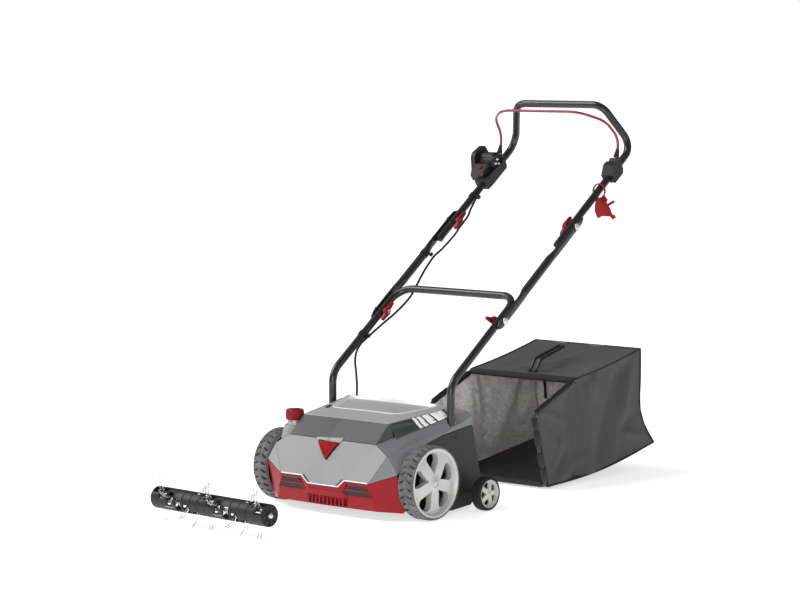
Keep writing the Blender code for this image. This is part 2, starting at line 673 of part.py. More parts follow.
def clamp_set(word, bolt_y, holder, swing, turned_by):
    """A bolt through two tubes, its nut plate outside, and the red wing lever inside."""
    for side, hand in ((-1, "left"), (1, "right")):
        centre = handle_point(bolt_y)
        name = word + "_" + hand
        profile = [(0.1690, 0), (0.1690, 0.0036), (0.2128, 0.0036), (0.2128, 0.0075), (0.2160, 0.0070),
                   (0.2160, 0)]
        bolt = turned([(side * x, r) for x, r in profile], centre.y, centre.z, False, 12)
        add("clamp_bolt_" + name, mesh_from(bolt), bright_steel, holder)
        axis = pivot("clamp_lever_axis_" + name, centre.y, centre.z, side * 0.176)
        extra = turned_by if hand == "right" else 0.0
        turn = Matrix.Rotation(extra, 4, "X")

        def spot(s, n):
            p = turn @ (along * s + above * n)
            return (centre.y + p.y, centre.z + p.z)

        wing = [spot(s, n) for s, n in ((0.030, -0.002), (0.031, 0.004), (0.012, 0.010), (0.0, 0.0105),
                                        (-0.013, 0.009), (-0.027, 0.001), (-0.026, -0.006), (-0.012, -0.009),
                                        (0.0, -0.0105), (0.012, -0.009))]
        low, high = sorted((side * 0.1720, side * 0.1785))
        made = add("clamp_lever_" + name, mesh_from(prism_x(wing, low, high)), red_plastic, axis)
        low, high = sorted((side * 0.1700, side * (handle_x - tube_radius - 0.0008)))
        join(made, rod_x(centre.y, centre.z, 0.0088, low, high, 12))
        cut(made, rod_x(centre.y, centre.z, 0.0041, -0.3, 0.3, 8))


def tube_bolt_holes(pieces):
    for name, bolt_y in pieces:
        centre = handle_point(bolt_y)
        cut(bpy.data.objects[name], rod_x(centre.y, centre.z, 0.0041, -0.3, 0.3, 8))


# ---- switch, bail and the things on the handle's upper loop ----
def switch(axis):
    origin = handle_point(0.765)
    tube_hole = cone_between(*[Vector((-handle_x, 0, 0)) + origin + along * s for s in (-0.2, 0.2)],
                             tube_radius + 2 * gap, tube_radius + 2 * gap, 16)
    sleeve = [in_handle(origin, s, n) for s, n in ((-0.048, -0.0125), (-0.020, -0.0145), (0.046, -0.0145),
                                                   (0.052, -0.006), (0.052, 0.013), (-0.048, 0.013))]
    made = add("switch_housing", mesh_from(prism_x(sleeve, -0.2135, -0.1765)), black_plastic, axis)
    block = [in_handle(origin, s, n) for s, n in ((-0.034, 0.005), (0.050, 0.005), (0.050, 0.022), (0.044, 0.028),
                                                  (0.0, 0.034), (-0.022, 0.031), (-0.034, 0.022))]
    inlet_y, inlet_z = 0.777, 0.828
    paddle = [(0.7420, 0.8350), (0.7470, 0.8450), (0.7790, 0.8625), (0.7880, 0.8615), (0.8060, 0.8400),
              (0.8040, 0.8250), (0.7800, 0.7900), (0.7600, 0.7780), (0.7420, 0.7880), (0.7455, 0.8000)]
    neck = [in_handle(origin, s, n) for s, n in ((-0.030, -0.010), (0.034, -0.010), (0.040, 0.022), (-0.016, 0.028))]
    join(made, prism_x(block, -0.2330, -0.1905))
    join(made, rod_x(inlet_y, inlet_z, 0.0185, -0.2340, -0.1880, 20), prism_x(paddle, -0.2465, -0.2325),
         prism_x(neck, -0.2340, -0.2100), rod_x(bail_y, bail_z, 0.0105, -0.2080, -0.1800))
    button = handle_point(0.765) + along * -0.012 + above * 0.0125
    button.x = -0.2055
    cut(made, tube_hole, rod_x(inlet_y, inlet_z, 0.0160, -0.2040, -0.1700, 20),
        cone_between(button, button + above * 0.04, 0.0063, 0.0063))
    inlet = add("mains_inlet", mesh_from(rod_x(inlet_y, inlet_z, 0.0156, -0.2037, -0.2010, 20)), black_plastic, axis)
    pins = []
    for angle in (90, 210, 330):
        reach = 0.0078
        pins.append(rod_x(inlet_y + reach * math.cos(math.radians(angle)),
                          inlet_z + reach * math.sin(math.radians(angle)), 0.0021, -0.2030, -0.1920, 8))
    join(inlet, *pins)
    holder = empty("lock_button_axis", button, machine)
    add("lock_button", mesh_from(cone_between(button + above * 0.0050, button + above * 0.0240, 0.0058, 0.0055)),
        red_plastic, holder)


def bail_holder(axis):
    origin = handle_point(0.778)
    block = [in_handle(origin, s, n) for s, n in ((-0.016, -0.0135), (0.024, -0.0135), (0.032, -0.004),
                                                  (0.032, 0.018), (0.022, 0.026), (0.006, 0.026), (-0.016, 0.010))]
    made = add("bail_holder", mesh_from(prism_x(block, 0.1765, 0.2135)), black_plastic, axis)
    join(made, rod_x(bail_y, bail_z, 0.0105, 0.1800, 0.2080))
    cut(made, cone_between(*[Vector((handle_x, 0, 0)) + origin + along * s for s in (-0.2, 0.2)],
                           tube_radius + 2 * gap, tube_radius + 2 * gap, 16))


def bail():
    axis = pivot("switch_bail_axis", bail_y, bail_z)
    base = Vector((handle_x, bail_y, bail_z))
    lean = Vector((0.0005, 0.0085, 0.030)).normalized()
    for side, word in ((-1, "left"), (1, "right")):
        flip = Vector((side, 1, 1))
        sleeve = cone_between((base + lean * 0.0125) * flip, (base + lean * 0.0350) * flip, 0.0068, 0.0042)
        add("bail_sleeve_" + word, mesh_from(sleeve), black_plastic, axis)
    side_points = [base + lean * 0.0354, Vector((0.1945, 0.811, 0.890)), Vector((0.183, 0.768, 0.936)),
                   Vector((0.128, 0.724, 0.960))]
    path = rounded(side_points + mirrored(reversed(side_points)), [0, 0.020, 0.025, 0.030, 0.030, 0.025, 0.020, 0], 3)
    add("bail_rod", mesh_from(swept(path, 0.003, 6)), red_plastic, axis)


def cord_hook():
    """The extension lead's strain-relief hook, which hangs on the right-hand tube."""
    centre = handle_point(0.728)
    axis = pivot("cord_hook_axis", centre.y, centre.z, handle_x)
    outline = [(-0.013, -0.019), (-0.0100, -0.030), (-0.0125, -0.040), (-0.0125, -0.055), (-0.0040, -0.0730),
               (0.0100, -0.0670), (0.0370, -0.0670), (0.0440, -0.0745), (0.0530, -0.0690), (0.0500, -0.0625),
               (0.0410, -0.0610), (0.0350, -0.0460), (0.0300, -0.0410), (0.0500, -0.0300), (0.0460, -0.0250),
               (0.0270, -0.0345), (0.0230, -0.0320), (0.0270, -0.0240), (0.0170, -0.014)]
    plate = [(handle_x + x, centre.z + z) for x, z in outline]
    ring_z = centre.z - 0.0026
    ring = [(handle_x + 0.0205 * math.cos(math.tau * i / 20), ring_z + 0.0205 * math.sin(math.tau * i / 20))
            for i in range(20)]
    hole = [(handle_x + 0.0170 * math.cos(math.tau * i / 20), ring_z + 0.0170 * math.sin(math.tau * i / 20))
            for i in range(20)]
    made = add("cord_hook", mesh_from(prism_y(plate, centre.y - 0.002, centre.y + 0.002)), red_plastic, axis)
    join(made, prism_y(ring, centre.y - 0.0019, centre.y + 0.0019))
    cut(made, prism_y(hole, centre.y - 0.01, centre.y + 0.01))


# ---- control cable, clipped to the left-hand tubes ----
def smooth_path(points, steps=2):
    """A Catmull-Rom curve through the points."""
    points = [Vector(p) for p in points]
    ends = [points[0] * 2 - points[1]] + points + [points[-1] * 2 - points[-2]]
    path = []
    for a, b, c, d in zip(ends, ends[1:], ends[2:], ends[3:]):
        for k in range(steps):
            t = k / steps
            path.append(0.5 * ((2 * b) + (c - a) * t + (2 * a - 5 * b + 4 * c - d) * t * t
                               + (3 * b - a - 3 * c + d) * t ** 3))
    return path + [points[-1]]


def cables(middle_axis, upper_axis):
    lower = [(-0.163, 0.190, 0.2495), (-0.1630, 0.1905, 0.275), (-0.1650, 0.1900, 0.305), (-0.1690, 0.1905, 0.335),
             (-0.1730, 0.200, 0.358), (-0.1760, 0.222, 0.378), (-0.1760, 0.262, 0.400), (-0.1700, 0.300, 0.424),
             (-0.1620, 0.330, 0.444), (-0.1560, 0.3600, 0.466), (-0.1580, 0.3900, 0.4850), (-0.1640, 0.4150, 0.5020)]
    add("cable_lower", mesh_from(swept(smooth_path(lower), cable_radius)), black_plastic)
    middle = [(-0.1642, 0.4155, 0.5024), (-0.1700, 0.4350, 0.5180), (-0.1770, 0.4650, 0.5430), (-0.1850, 0.4950, 0.5640),
              (-0.1860, 0.5200, 0.5825), (-0.1760, 0.5420, 0.6020), (-0.1640, 0.5750, 0.6350), (-0.1640, 0.5950, 0.6530)]
    add("cable_middle", mesh_from(swept(smooth_path(middle), cable_radius)), black_plastic, middle_axis)
    upper = [(-0.1640, 0.6150, 0.6690), (-0.1640, 0.6320, 0.6840), (-0.1700, 0.6500, 0.7000), (-0.1780, 0.6850, 0.7300),
             (-0.1803, 0.7110, 0.7520), (-0.1803, 0.7236, 0.7615)]
    add("cable_upper", mesh_from(swept(smooth_path(upper), cable_radius)), black_plastic, upper_axis)


# ---- catcher bag ----
def catcher():
    axis = pivot("bag_axis", 0.541, 0.012)
    side = [Vector((bag_x, 0.5410, 0.0105)), Vector((bag_x, 0.5110, 0.1070)), Vector((bag_x, 0.4880, 0.1990)),
            Vector((bag_x, 0.6580, 0.2710))]
    loop = side + mirrored(reversed(side))
    path = rounded(loop, [0.012, 0.03, 0.014, 0.012, 0.012, 0.014, 0.03, 0.012], 3, closed=True)
    add("bag_frame", mesh_from(swept(path, bag_rod, 8, closed=True)), black_plastic, axis)
    outer = [(0.5500, 0.0045), (0.5215, 0.1090), (0.5000, 0.1960), (0.6670, 0.2665), (0.9400, 0.3310),
             (0.9480, 0.2400), (0.9500, 0.1600), (0.9700, 0.1150), (1.0070, 0.0710), (0.9000, 0.0530),
             (0.7000, 0.0220)]
    inner = [(0.4000, -0.0200), (0.4000, 0.3000), (0.5900, 0.2600), (0.6650, 0.2630), (0.9375, 0.3278),
             (0.9453, 0.2400), (0.9475, 0.1590), (0.9680, 0.1135), (1.0020, 0.0730), (0.9950, 0.0500),
             (0.9000, -0.0200)]
    shell = add("bag_shell", mesh_from(prism_x(outer, -0.1755, 0.1755)), bag_cloth, axis)
    cut(shell, prism_x(inner, -0.1725, 0.1725))
    floor = [(0.5520, 0.0050), (0.7000, 0.0225), (0.9000, 0.0535), (0.9950, 0.0700), (0.9940, 0.0735),
             (0.9000, 0.0570), (0.7000, 0.0260), (0.5515, 0.0085)]
    add("bag_floor", mesh_from(prism_x(floor, -0.1720, 0.1720)), black_plastic, axis)
    half = [Vector((0.0095, 0.7020, 0.2790)), Vector((0.0095, 0.7240, 0.3090)), Vector((0.0095, 0.8290, 0.3360))]
    path = rounded(half + mirrored(reversed(half)), [0, 0.012, 0.0094, 0.0094, 0.012, 0], 3)
    add("bag_handle", mesh_from(swept(path, 0.004)), black_plastic, axis)


# ---- spare spring-tine roller ----
def spare_roller():
    axis = empty("spare_roller_axis", spare_centre, machine)
    axis.rotation_euler.z = spare_yaw
    end = spare_half - 0.004
    profile = [(-spare_half, 0.0265), (spare_half, 0.0265), (spare_half, 0.0088), (end, 0.0088), (end, 0.0195),
               (-end, 0.0195), (-end, 0.0088), (-spare_half, 0.0088)]
    drum = local("spare_drum", turned(profile, 0, 0, segments=14), black_plastic, axis)
    windows = bmesh.new()
    wires = bmesh.new()
    pitch = 2 * spare_half / spare_segments
    for i in range(spare_segments):
        middle = Matrix.Translation((-spare_half + (i + 0.5) * pitch, 0, 0))
        turn = middle @ Matrix.Rotation(math.radians(15 + 30 * i), 4, "X")
        add_box(windows, turn, (0.017, 0.022, 0.070))
        for flip in (turn, turn @ Matrix.Rotation(math.pi, 4, "X")):
            for offset in (-0.0045, 0.0045):
                ends = [[wires.verts.new(flip @ Vector((offset + a, y + b, z)))
                         for a, b in ((-0.001, -0.0008), (0.001, -0.0008), (0, 0.001))]
                        for y, z in ((0, 0.005), (0.010, 0.0575))]
                ring_faces(wires, ends, False)
                wires.faces.new(ends[0])
                wires.faces.new(ends[1])
    boolean(drum, local_cutter(windows, axis), "DIFFERENCE")
    tines = local("spare_tines", rod_x(0, 0, 0.0083, -spare_half - 0.005, spare_half + 0.005), bright_steel, axis)
    boolean(tines, local_cutter(wires, axis), "UNION")


def local(name, bm, colour, parent):
    """A piece drawn about its parent empty instead of in the machine's frame."""
    made = bpy.data.objects.new(name, mesh_from(bm))
    bpy.context.scene.collection.objects.link(made)
    made.parent = parent
    made.data.materials.append(colour)
    return made


def local_cutter(bm, parent):
    made = local("cutter", bm, black_plastic, parent)
    made.hide_render = True
    made.display_type = "WIRE"
    return made


hood()
bumper()
badge()
housing()
rollers()
motor()
running_gear()
knob()
gland()
flap()
lower_handle()
lower_hinge = pivot("handle_lower_hinge", *handle_point(lower_bolt_y).yz)
upper_hinge = pivot("handle_upper_hinge", *handle_point(upper_bolt_y).yz)
middle_handle(lower_hinge)
upper_handle(upper_hinge)
tube_bolt_holes([("handle_lower", lower_bolt_y), ("handle_middle_left", lower_bolt_y),
                 ("handle_middle_right", lower_bolt_y), ("handle_middle_left", upper_bolt_y),
                 ("handle_middle_right", upper_bolt_y), ("handle_loop", upper_bolt_y)])
clamp_set("lower", lower_bolt_y, machine, lower_hinge, math.radians(118))
clamp_set("upper", upper_bolt_y, upper_hinge, upper_hinge, 0.0)
switch(upper_hinge)
bail_holder(upper_hinge)
bail()
cord_hook()
cables(lower_hinge, upper_hinge)
catcher()
spare_roller()
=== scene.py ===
import math
import random

import bmesh
import bpy
from mathutils import Matrix, Vector, noise
from mathutils.bvhtree import BVHTree


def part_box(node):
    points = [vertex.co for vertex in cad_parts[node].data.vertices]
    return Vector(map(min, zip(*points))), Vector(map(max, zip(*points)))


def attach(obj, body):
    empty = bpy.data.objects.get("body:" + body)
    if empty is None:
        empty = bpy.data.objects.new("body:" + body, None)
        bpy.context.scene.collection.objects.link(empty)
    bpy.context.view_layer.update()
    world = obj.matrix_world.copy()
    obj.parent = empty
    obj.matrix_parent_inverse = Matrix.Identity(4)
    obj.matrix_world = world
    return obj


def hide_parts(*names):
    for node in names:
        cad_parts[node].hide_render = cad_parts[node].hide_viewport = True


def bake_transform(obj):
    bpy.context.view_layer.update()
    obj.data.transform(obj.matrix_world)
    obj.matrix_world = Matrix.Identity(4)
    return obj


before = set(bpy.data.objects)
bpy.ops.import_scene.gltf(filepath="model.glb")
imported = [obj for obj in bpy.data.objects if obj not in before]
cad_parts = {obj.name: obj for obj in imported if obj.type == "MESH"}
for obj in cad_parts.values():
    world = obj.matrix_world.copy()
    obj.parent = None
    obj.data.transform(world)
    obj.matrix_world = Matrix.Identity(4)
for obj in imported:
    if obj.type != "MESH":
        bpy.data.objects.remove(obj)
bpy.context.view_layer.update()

# Everything below is drawn in the machine's own frame: front axle at y = 0, ground at z = 0.
frontAxleY = sum(corner.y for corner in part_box("front_right_tyre")) / 2
toFrame = Matrix.Translation((0, frontAxleY, 0))
print("frame loaded, front axle at y", round(frontAxleY, 4))


class Wire:  # one socket's output, so that shader maths reads as plain arithmetic
    def __init__(self, finish, socket):
        self.finish = finish
        self.socket = socket

    def maths(self, operation, first, second=0.0):
        return self.finish.node("Math", {"operation": operation}, {0: first, 1: second})

    def __add__(self, other):
        return self.maths("ADD", self, other)

    def __radd__(self, other):
        return self.maths("ADD", other, self)

    def __mul__(self, other):
        return self.maths("MULTIPLY", self, other)

    def __rmul__(self, other):
        return self.maths("MULTIPLY", other, self)


class Finish:  # one material and the nodes that make it
    def __init__(self, name, constants=None):
        self.material = bpy.data.materials.new(name)
        self.material.use_nodes = True
        self.tree = self.material.node_tree
        self.shader = self.tree.nodes["Principled BSDF"]
        for socket, value in (constants or {}).items():
            self.shader.inputs[socket].default_value = value
        self.spot = self.node("TexCoord", output=3)

    def node(self, kind, settings=None, sockets=None, output=0):
        made = self.tree.nodes.new("ShaderNode" + kind)
        for setting, value in (settings or {}).items():
            if setting == "stops":
                for stop, (position, colour) in zip(made.color_ramp.elements, value):
                    stop.position, stop.color = position, (*colour, 1)
            else:
                setattr(made, setting, value)
        for socket, value in (sockets or {}).items():
            if isinstance(value, Wire):
                self.tree.links.new(value.socket, made.inputs[socket])
            else:
                made.inputs[socket].default_value = value
        return Wire(self, made.outputs[output])

    def noise(self, scale, detail=2.0, stretch=None, distortion=0.0):
        where = self.spot
        if stretch:
            where = self.node("VectorMath", {"operation": "MULTIPLY"}, {0: where, 1: stretch})
        return self.node("TexNoise", None,
                         {"Vector": where, "Scale": scale, "Detail": detail, "Distortion": distortion})

    def waves(self, period, direction):  # stripes across one axis, 0 to 1
        return self.node("TexWave", {"wave_type": "BANDS", "bands_direction": direction},
                         {"Vector": self.spot, "Scale": math.tau / 20 / period})

    def mix(self, factor, first, second):
        return self.node("Mix", {"data_type": "RGBA"},
                         {0: factor, 6: asColour(first), 7: asColour(second)}, 2)

    def feed(self, socket, value):
        self.tree.links.new(value.socket, self.shader.inputs[socket])

    def bump(self, height, distance, strength=1.0):
        self.feed("Normal",
                  self.node("Bump", None,
                            {"Height": height, "Distance": distance, "Strength": strength}))


def asColour(value):
    return value if isinstance(value, Wire) else (*value, 1.0)


def shade(colour, share):
    return tuple(c * share for c in colour)


# fine spark-eroded grain
def mouldedPlastic(name, colour, roughness=0.4, grain=0.00003, coat=0.0, shine=0.35):
    made = Finish(name, {"Coat Weight": coat, "Coat Roughness": 0.25, "Specular IOR Level": shine})
    drift, fine = made.noise(7, 3), made.noise(1400, 2)
    made.feed("Base Color", made.mix(drift * 0.7 + fine * 0.3, shade(colour, 0.86), shade(colour, 1.1)))
    made.feed("Roughness", roughness - 0.1 + drift * 0.1 + fine * 0.12)
    made.bump(fine, grain)
    return made.material


def powderCoat(name, colour, roughness):  # gloss coat with a slight orange peel
    made = Finish(name, {"Coat Weight": 0.25, "Coat Roughness": 0.06})
    peel, drift = made.noise(260, 2), made.noise(9, 2)
    made.feed("Base Color", made.mix(drift, shade(colour, 0.8), shade(colour, 1.3)))
    made.feed("Roughness", roughness - 0.05 + peel * 0.1)
    made.bump(peel, 0.00008, 0.6)
    return made.material


def platedSteel(name, colour, roughness, stretch):  # drawn or brushed along one way
    made = Finish(name, {"Metallic": 1.0})
    lines, cloud = made.noise(400, 2, stretch), made.noise(30, 3)
    made.feed("Base Color", made.mix(cloud, shade(colour, 0.8), shade(colour, 1.1)))
    made.feed("Roughness", roughness - 0.08 + lines * 0.12 + cloud * 0.08)
    made.bump(lines, 0.00003)
    return made.material


def tyreRubber(name, colour):  # matt rubber, paler where the tread has been scuffed
    made = Finish(name, {"Specular IOR Level": 0.3})
    scuff, fine, blotch = made.noise(150, 5, None, 1.2), made.noise(900, 2), made.noise(38, 3)
    worn = made.node("ValToRGB", {"stops": ((0.36, shade(colour, 0.5)), (0.66, shade(colour, 1.5)))},
                     {0: scuff * 0.6 + blotch * 0.4})
    made.feed("Base Color", worn)
    made.feed("Roughness", 0.62 + fine * 0.16 + scuff * 0.1)
    made.bump(scuff * 0.6 + fine * 0.4, 0.0006, 0.6)
    return made.material


def wheelSilver(name, colour):  # silver-white moulding with fine flake
    made = Finish(name, {"Coat Weight": 0.3, "Coat Roughness": 0.2})
    flake, drift = made.noise(2600, 1), made.noise(11, 3)
    made.feed("Base Color",
              made.mix(drift * 0.6 + flake * 0.4, shade(colour, 0.9), shade(colour, 1.06)))
    made.feed("Metallic", 0.12 + flake * 0.12)
    made.feed("Roughness", 0.3 + flake * 0.12)
    made.bump(flake, 0.00001, 0.5)
    return made.material


def bagCloth(name, colour, thread):  # coated weave: two sets of threads, with soft creases whose shade is painted into the colour
    made = Finish(name, {"Sheen Weight": 0.06, "Sheen Roughness": 0.5})
    weave = made.waves(thread, "X") + made.waves(thread, "Y") + made.waves(thread, "Z")
    creaseReliefAndShade, drift = made.noise(16, 4, (1, 1, 0.45), 0.8), made.noise(5, 2)
    made.feed("Base Color",
              made.mix(weave * 0.18 + creaseReliefAndShade * 0.35 + drift * 0.2, shade(colour, 0.62),
                       shade(colour, 1.45)))
    made.feed("Roughness", 0.56 + creaseReliefAndShade * 0.16 + weave * 0.03)
    made.bump(weave * 0.06 + creaseReliefAndShade, 0.0016, 0.55)
    return made.material


def felt(name, dark, pale):  # pressed mottled fleece
    made = Finish(name, {"Sheen Weight": 0.3, "Sheen Roughness": 0.6, "Roughness": 0.95})
    blotch, fibre = made.noise(46, 6, (1, 1, 1.3), 1.4), made.noise(420, 4, (1, 0.5, 1), 2.0)
    made.feed("Base Color", made.node("ValToRGB", {"stops": ((0.3, dark), (0.72, pale))},
                                      {0: blotch * 0.62 + fibre * 0.38}))
    made.bump(fibre * 0.7 + blotch * 0.3, 0.0012, 0.8)
    return made.material


def webbing(name, colour):  # ribbed tape
    made = Finish(name)
    ribs, fine = made.waves(0.0022, "Z"), made.noise(700, 2)
    made.feed("Base Color", made.mix(ribs * 0.6 + fine * 0.4, shade(colour, 0.6), shade(colour, 1.5)))
    made.feed("Roughness", 0.7 + fine * 0.2)
    made.bump(ribs, 0.0004)
    return made.material


colours = {  # base colours, linear
    "hoodGrey": (0.295, 0.295, 0.301),
    "coverGrey": (0.40, 0.40, 0.402),
    "paintedHighlightGrey": (0.78, 0.78, 0.78),
    "shadedShoulderGrey": (0.195, 0.195, 0.203),
    "bandSlate": (0.046, 0.048, 0.050),
    "housingGrey": (0.027, 0.0255, 0.026),
    "black": (0.011, 0.011, 0.011),
    "tubeBlack": (0.006, 0.006, 0.006),
    "red": (0.265, 0.0045, 0.009),
    "rimSilver": (0.55, 0.545, 0.53),
    "white": (0.96, 0.96, 0.96),
    "rubber": (0.125, 0.122, 0.127),
    "steel": (0.62, 0.62, 0.64),
    "cloth": (0.050, 0.048, 0.049),
}
hoodPlastic = mouldedPlastic("hoodPlastic", colours["hoodGrey"], 0.42, coat=0.12)
coverPlastic = mouldedPlastic("coverPlastic", colours["coverGrey"], 0.40, coat=0.12)
# pale grey finish: a painted highlight on the cover's rim and the hood's lower lip
paintedHighlightPlastic = mouldedPlastic("coverPaintedHighlight", colours["paintedHighlightGrey"], 0.3, coat=0.3)
# darker grey for the right shoulder only: painted shade on the side turned from the key light
shadedShoulderPlastic = mouldedPlastic("shadedShoulderPlastic", colours["shadedShoulderGrey"], 0.42, coat=0.1)
bandPlastic = mouldedPlastic("bandPlastic", colours["bandSlate"], 0.38, coat=0.15)
housingPlastic = mouldedPlastic("housingPlastic", colours["housingGrey"], 0.55, 0.00006)
blackPlastic = mouldedPlastic("blackPlastic", colours["black"], 0.45, 0.00005)
redPlastic = mouldedPlastic("redPlastic", colours["red"], 0.36, coat=0.05, shine=0.22)
whitePrint = mouldedPlastic("whitePrint", colours["white"], 0.4, 0.00001)
tubePaint = powderCoat("tubePaint", colours["tubeBlack"], 0.3)
redWire = powderCoat("redWirePaint", colours["red"], 0.3)
brightSteel = platedSteel("zincPlate", colours["steel"], 0.32, (1, 0.1, 1))
roughSteel = platedSteel("plainSteel", shade(colours["steel"], 0.6), 0.45, (0.1, 1, 1))
tineSteel = platedSteel("springSteel", colours["steel"], 0.25, (1, 1, 0.2))
rubber = tyreRubber("tyreRubber", colours["rubber"])
# near-black rubber of the rear tyres, also laid on the front tread grooves as painted shade
blackRubberAndGrooveShade = tyreRubber("rearTyreAndGrooveShadeRubber", shade(colours["rubber"], 0.13))
beltRubber = tyreRubber("beltRubber", shade(colours["rubber"], 0.25))
rimSilver = wheelSilver("rimSilver", colours["rimSilver"])
cloth = bagCloth("bagCloth", colours["cloth"], 0.0011)
lining = felt("bagLining", (0.42, 0.392, 0.392), (1.0, 0.94, 0.94))
tape = webbing("seamTape", colours["black"])
# dark red as painted shadow, for the sheet behind the bumper's comb ribs
paintedShadowRed = mouldedPlastic("shadowRed", shade(colours["red"], 0.22), 0.6)


def makeVentMesh():  # black mesh: strands painted lighter as lit, holes painted darker as the shade behind them
    made = Finish("ventMesh")
    strands = made.waves(0.0032, "X") * made.waves(0.0026, "Z")
    made.feed("Base Color",
              made.mix(strands, shade(colours["black"], 0.5), shade(colours["black"], 2.5)))
    made.feed("Roughness", 0.5 + strands * 0.2)
    made.bump(strands, 0.0008)
    return made.material


ventMesh = makeVentMesh()
print("materials made")


def finishPiece(name, bm, finish, body, stands=(), sharp=35, extra=()):
    bmesh.ops.recalc_face_normals(bm, faces=bm.faces)
    mesh = bpy.data.meshes.new(name)
    bm.to_mesh(mesh)
    bm.free()
    mesh.transform(toFrame)
    mesh.shade_smooth()
    mesh.set_sharp_from_angle(angle=math.radians(sharp))
    for each in (finish, *extra):
        mesh.materials.append(each)
    piece = bpy.data.objects.new(name, mesh)
    bpy.context.scene.collection.objects.link(piece)
    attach(piece, body)
    if stands:
        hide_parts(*stands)
    return piece


def soften(piece, width, segments=3, angle=32):  # rounded edges
    step = piece.modifiers.new("roundedEdges", "BEVEL")
    step.width = width
    step.segments = segments
    step.limit_method = "ANGLE"
    step.angle_limit = math.radians(angle)
    step.harden_normals = True
    return piece


def joinRings(bm, rings, closed=False, capped=True):
    pairs = list(zip(rings, rings[1:])) + ([(rings[-1], rings[0])] if closed else [])
    for first, second in pairs:
        for i in range(max(len(first), len(second))):
            corners = [first[i % len(first)], first[(i + 1) % len(first)],
                       second[(i + 1) % len(second)], second[i % len(second)]]
            bm.faces.new([v for n, v in enumerate(corners) if v not in corners[:n]])
    if not closed and capped:
        for end in (rings[0], rings[-1]):
            if len(end) > 2:
                bm.faces.new(end)
    return bm


# (x, radius) pairs turned about the X axis
def around(profile, y, z, segments=64, closed=False, into=None):
    bm = into or bmesh.new()
    rings = []
    for x, radius in profile:
        turns = [math.tau * i / segments for i in range(segments if radius else 1)]
        rings.append([bm.verts.new((x, y + radius * math.cos(t), z + radius * math.sin(t)))
                      for t in turns])
    return joinRings(bm, rings, closed)


# (share of the way, radius) pairs turned about a line
def aroundLine(start, end, radii, segments=24, into=None):
    bm = into or bmesh.new()
    axis = (end - start).normalized()
    side = axis.orthogonal().normalized()
    other = axis.cross(side)
    rings = []
    for share, radius in radii:
        middle = start.lerp(end, share)
        turns = [math.tau * i / segments for i in range(segments if radius else 1)]
        rings.append([bm.verts.new(middle + (side * math.cos(t) + other * math.sin(t)) * radius)
                      for t in turns])
    return joinRings(bm, rings)


# a bar along a path; flat squeezes it to a strip
def sweep(path, radius, sides=12, closed=False, into=None, flat=1.0):
    bm = into or bmesh.new()
    steps = [(b - a).normalized() for a, b in zip(path, path[1:] + path[:1])]
    if not closed:
        steps[-1] = steps[-2]
    before = [steps[-1] if closed else steps[0]] + steps[:-1]
    across = Vector((1, 0, 0)) if abs(steps[0].x) < 0.9 else Vector((0, 0, 1))
    rings = []
    for point, one, two in zip(path, before, steps):
        ahead = (one + two).normalized()
        across = (across - ahead * across.dot(ahead)).normalized()
        other = ahead.cross(across)
        turns = [math.tau * i / sides for i in range(sides)]
        rings.append([bm.verts.new(point
                                + (across * math.cos(t) + other * math.sin(t) * flat) * radius)
                                for t in turns])
    return joinRings(bm, rings, closed)


def rounded(points, radii, steps=8, closed=False):  # each corner of a path becomes an arc
    points = [Vector(p) for p in points]
    path = []
    for i, here in enumerate(points):
        if not closed and i in (0, len(points) - 1):
            path.append(here)
            continue
        back = (points[i - 1] - here).normalized()
        ahead = (points[(i + 1) % len(points)] - here).normalized()
        half = back.angle(ahead) / 2
        centre = here + (back + ahead).normalized() * (radii[i] / math.sin(half))
        start = here + back * (radii[i] / math.tan(half)) - centre
        end = here + ahead * (radii[i] / math.tan(half)) - centre
        path += [centre + start.slerp(end, k / steps) * radii[i] for k in range(steps + 1)]
    return path


def curved(points, steps=6):  # a smooth curve through points
    points = [Vector(p) for p in points]
    ends = [points[0] * 2 - points[1]] + points + [points[-1] * 2 - points[-2]]
    path = []
    for a, b, c, d in zip(ends, ends[1:], ends[2:], ends[3:]):
        for k in range(steps):
            t = k / steps
            path.append(0.5 * (2 * b + (c - a) * t + (2 * a - 5 * b + 4 * c - d) * t * t
                               + (3 * b - a - 3 * c + d) * t ** 3))
    return path + [points[-1]]


def mirrored(points):
    return [Vector((-p[0], p[1], p[2])) for p in points]


# an outline of (a, b) points, made solid along the third way
def plate(outline, place, thickness, into=None):
    bm = into or bmesh.new()
    rings = [[bm.verts.new(place(a, b, depth)) for a, b in outline] for depth in (0.0, thickness)]
    return joinRings(bm, rings)


def roundedOutline(points, radii, steps=5):
    flat = rounded([(a, b, 0) for a, b in points], radii, steps, closed=True)
    return [(p.x, p.y) for p in flat]


def dressNode(name, finish, width=0.0, angle=32):
    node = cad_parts[name]
    node.data.materials.clear()
    node.data.materials.append(finish)
    if "custom_normal" in node.data.attributes:
        node.data.attributes.remove(node.data.attributes["custom_normal"])
    weld = node.modifiers.new("joinSplitCorners", "WELD")
    weld.merge_threshold = 0.00002
    if width:
        flatten = node.modifiers.new("mergeFlatFaces", "DECIMATE")
        flatten.decimate_type = "DISSOLVE"
        flatten.angle_limit = math.radians(0.8)
        soften(node, width, 3, angle)
    return node


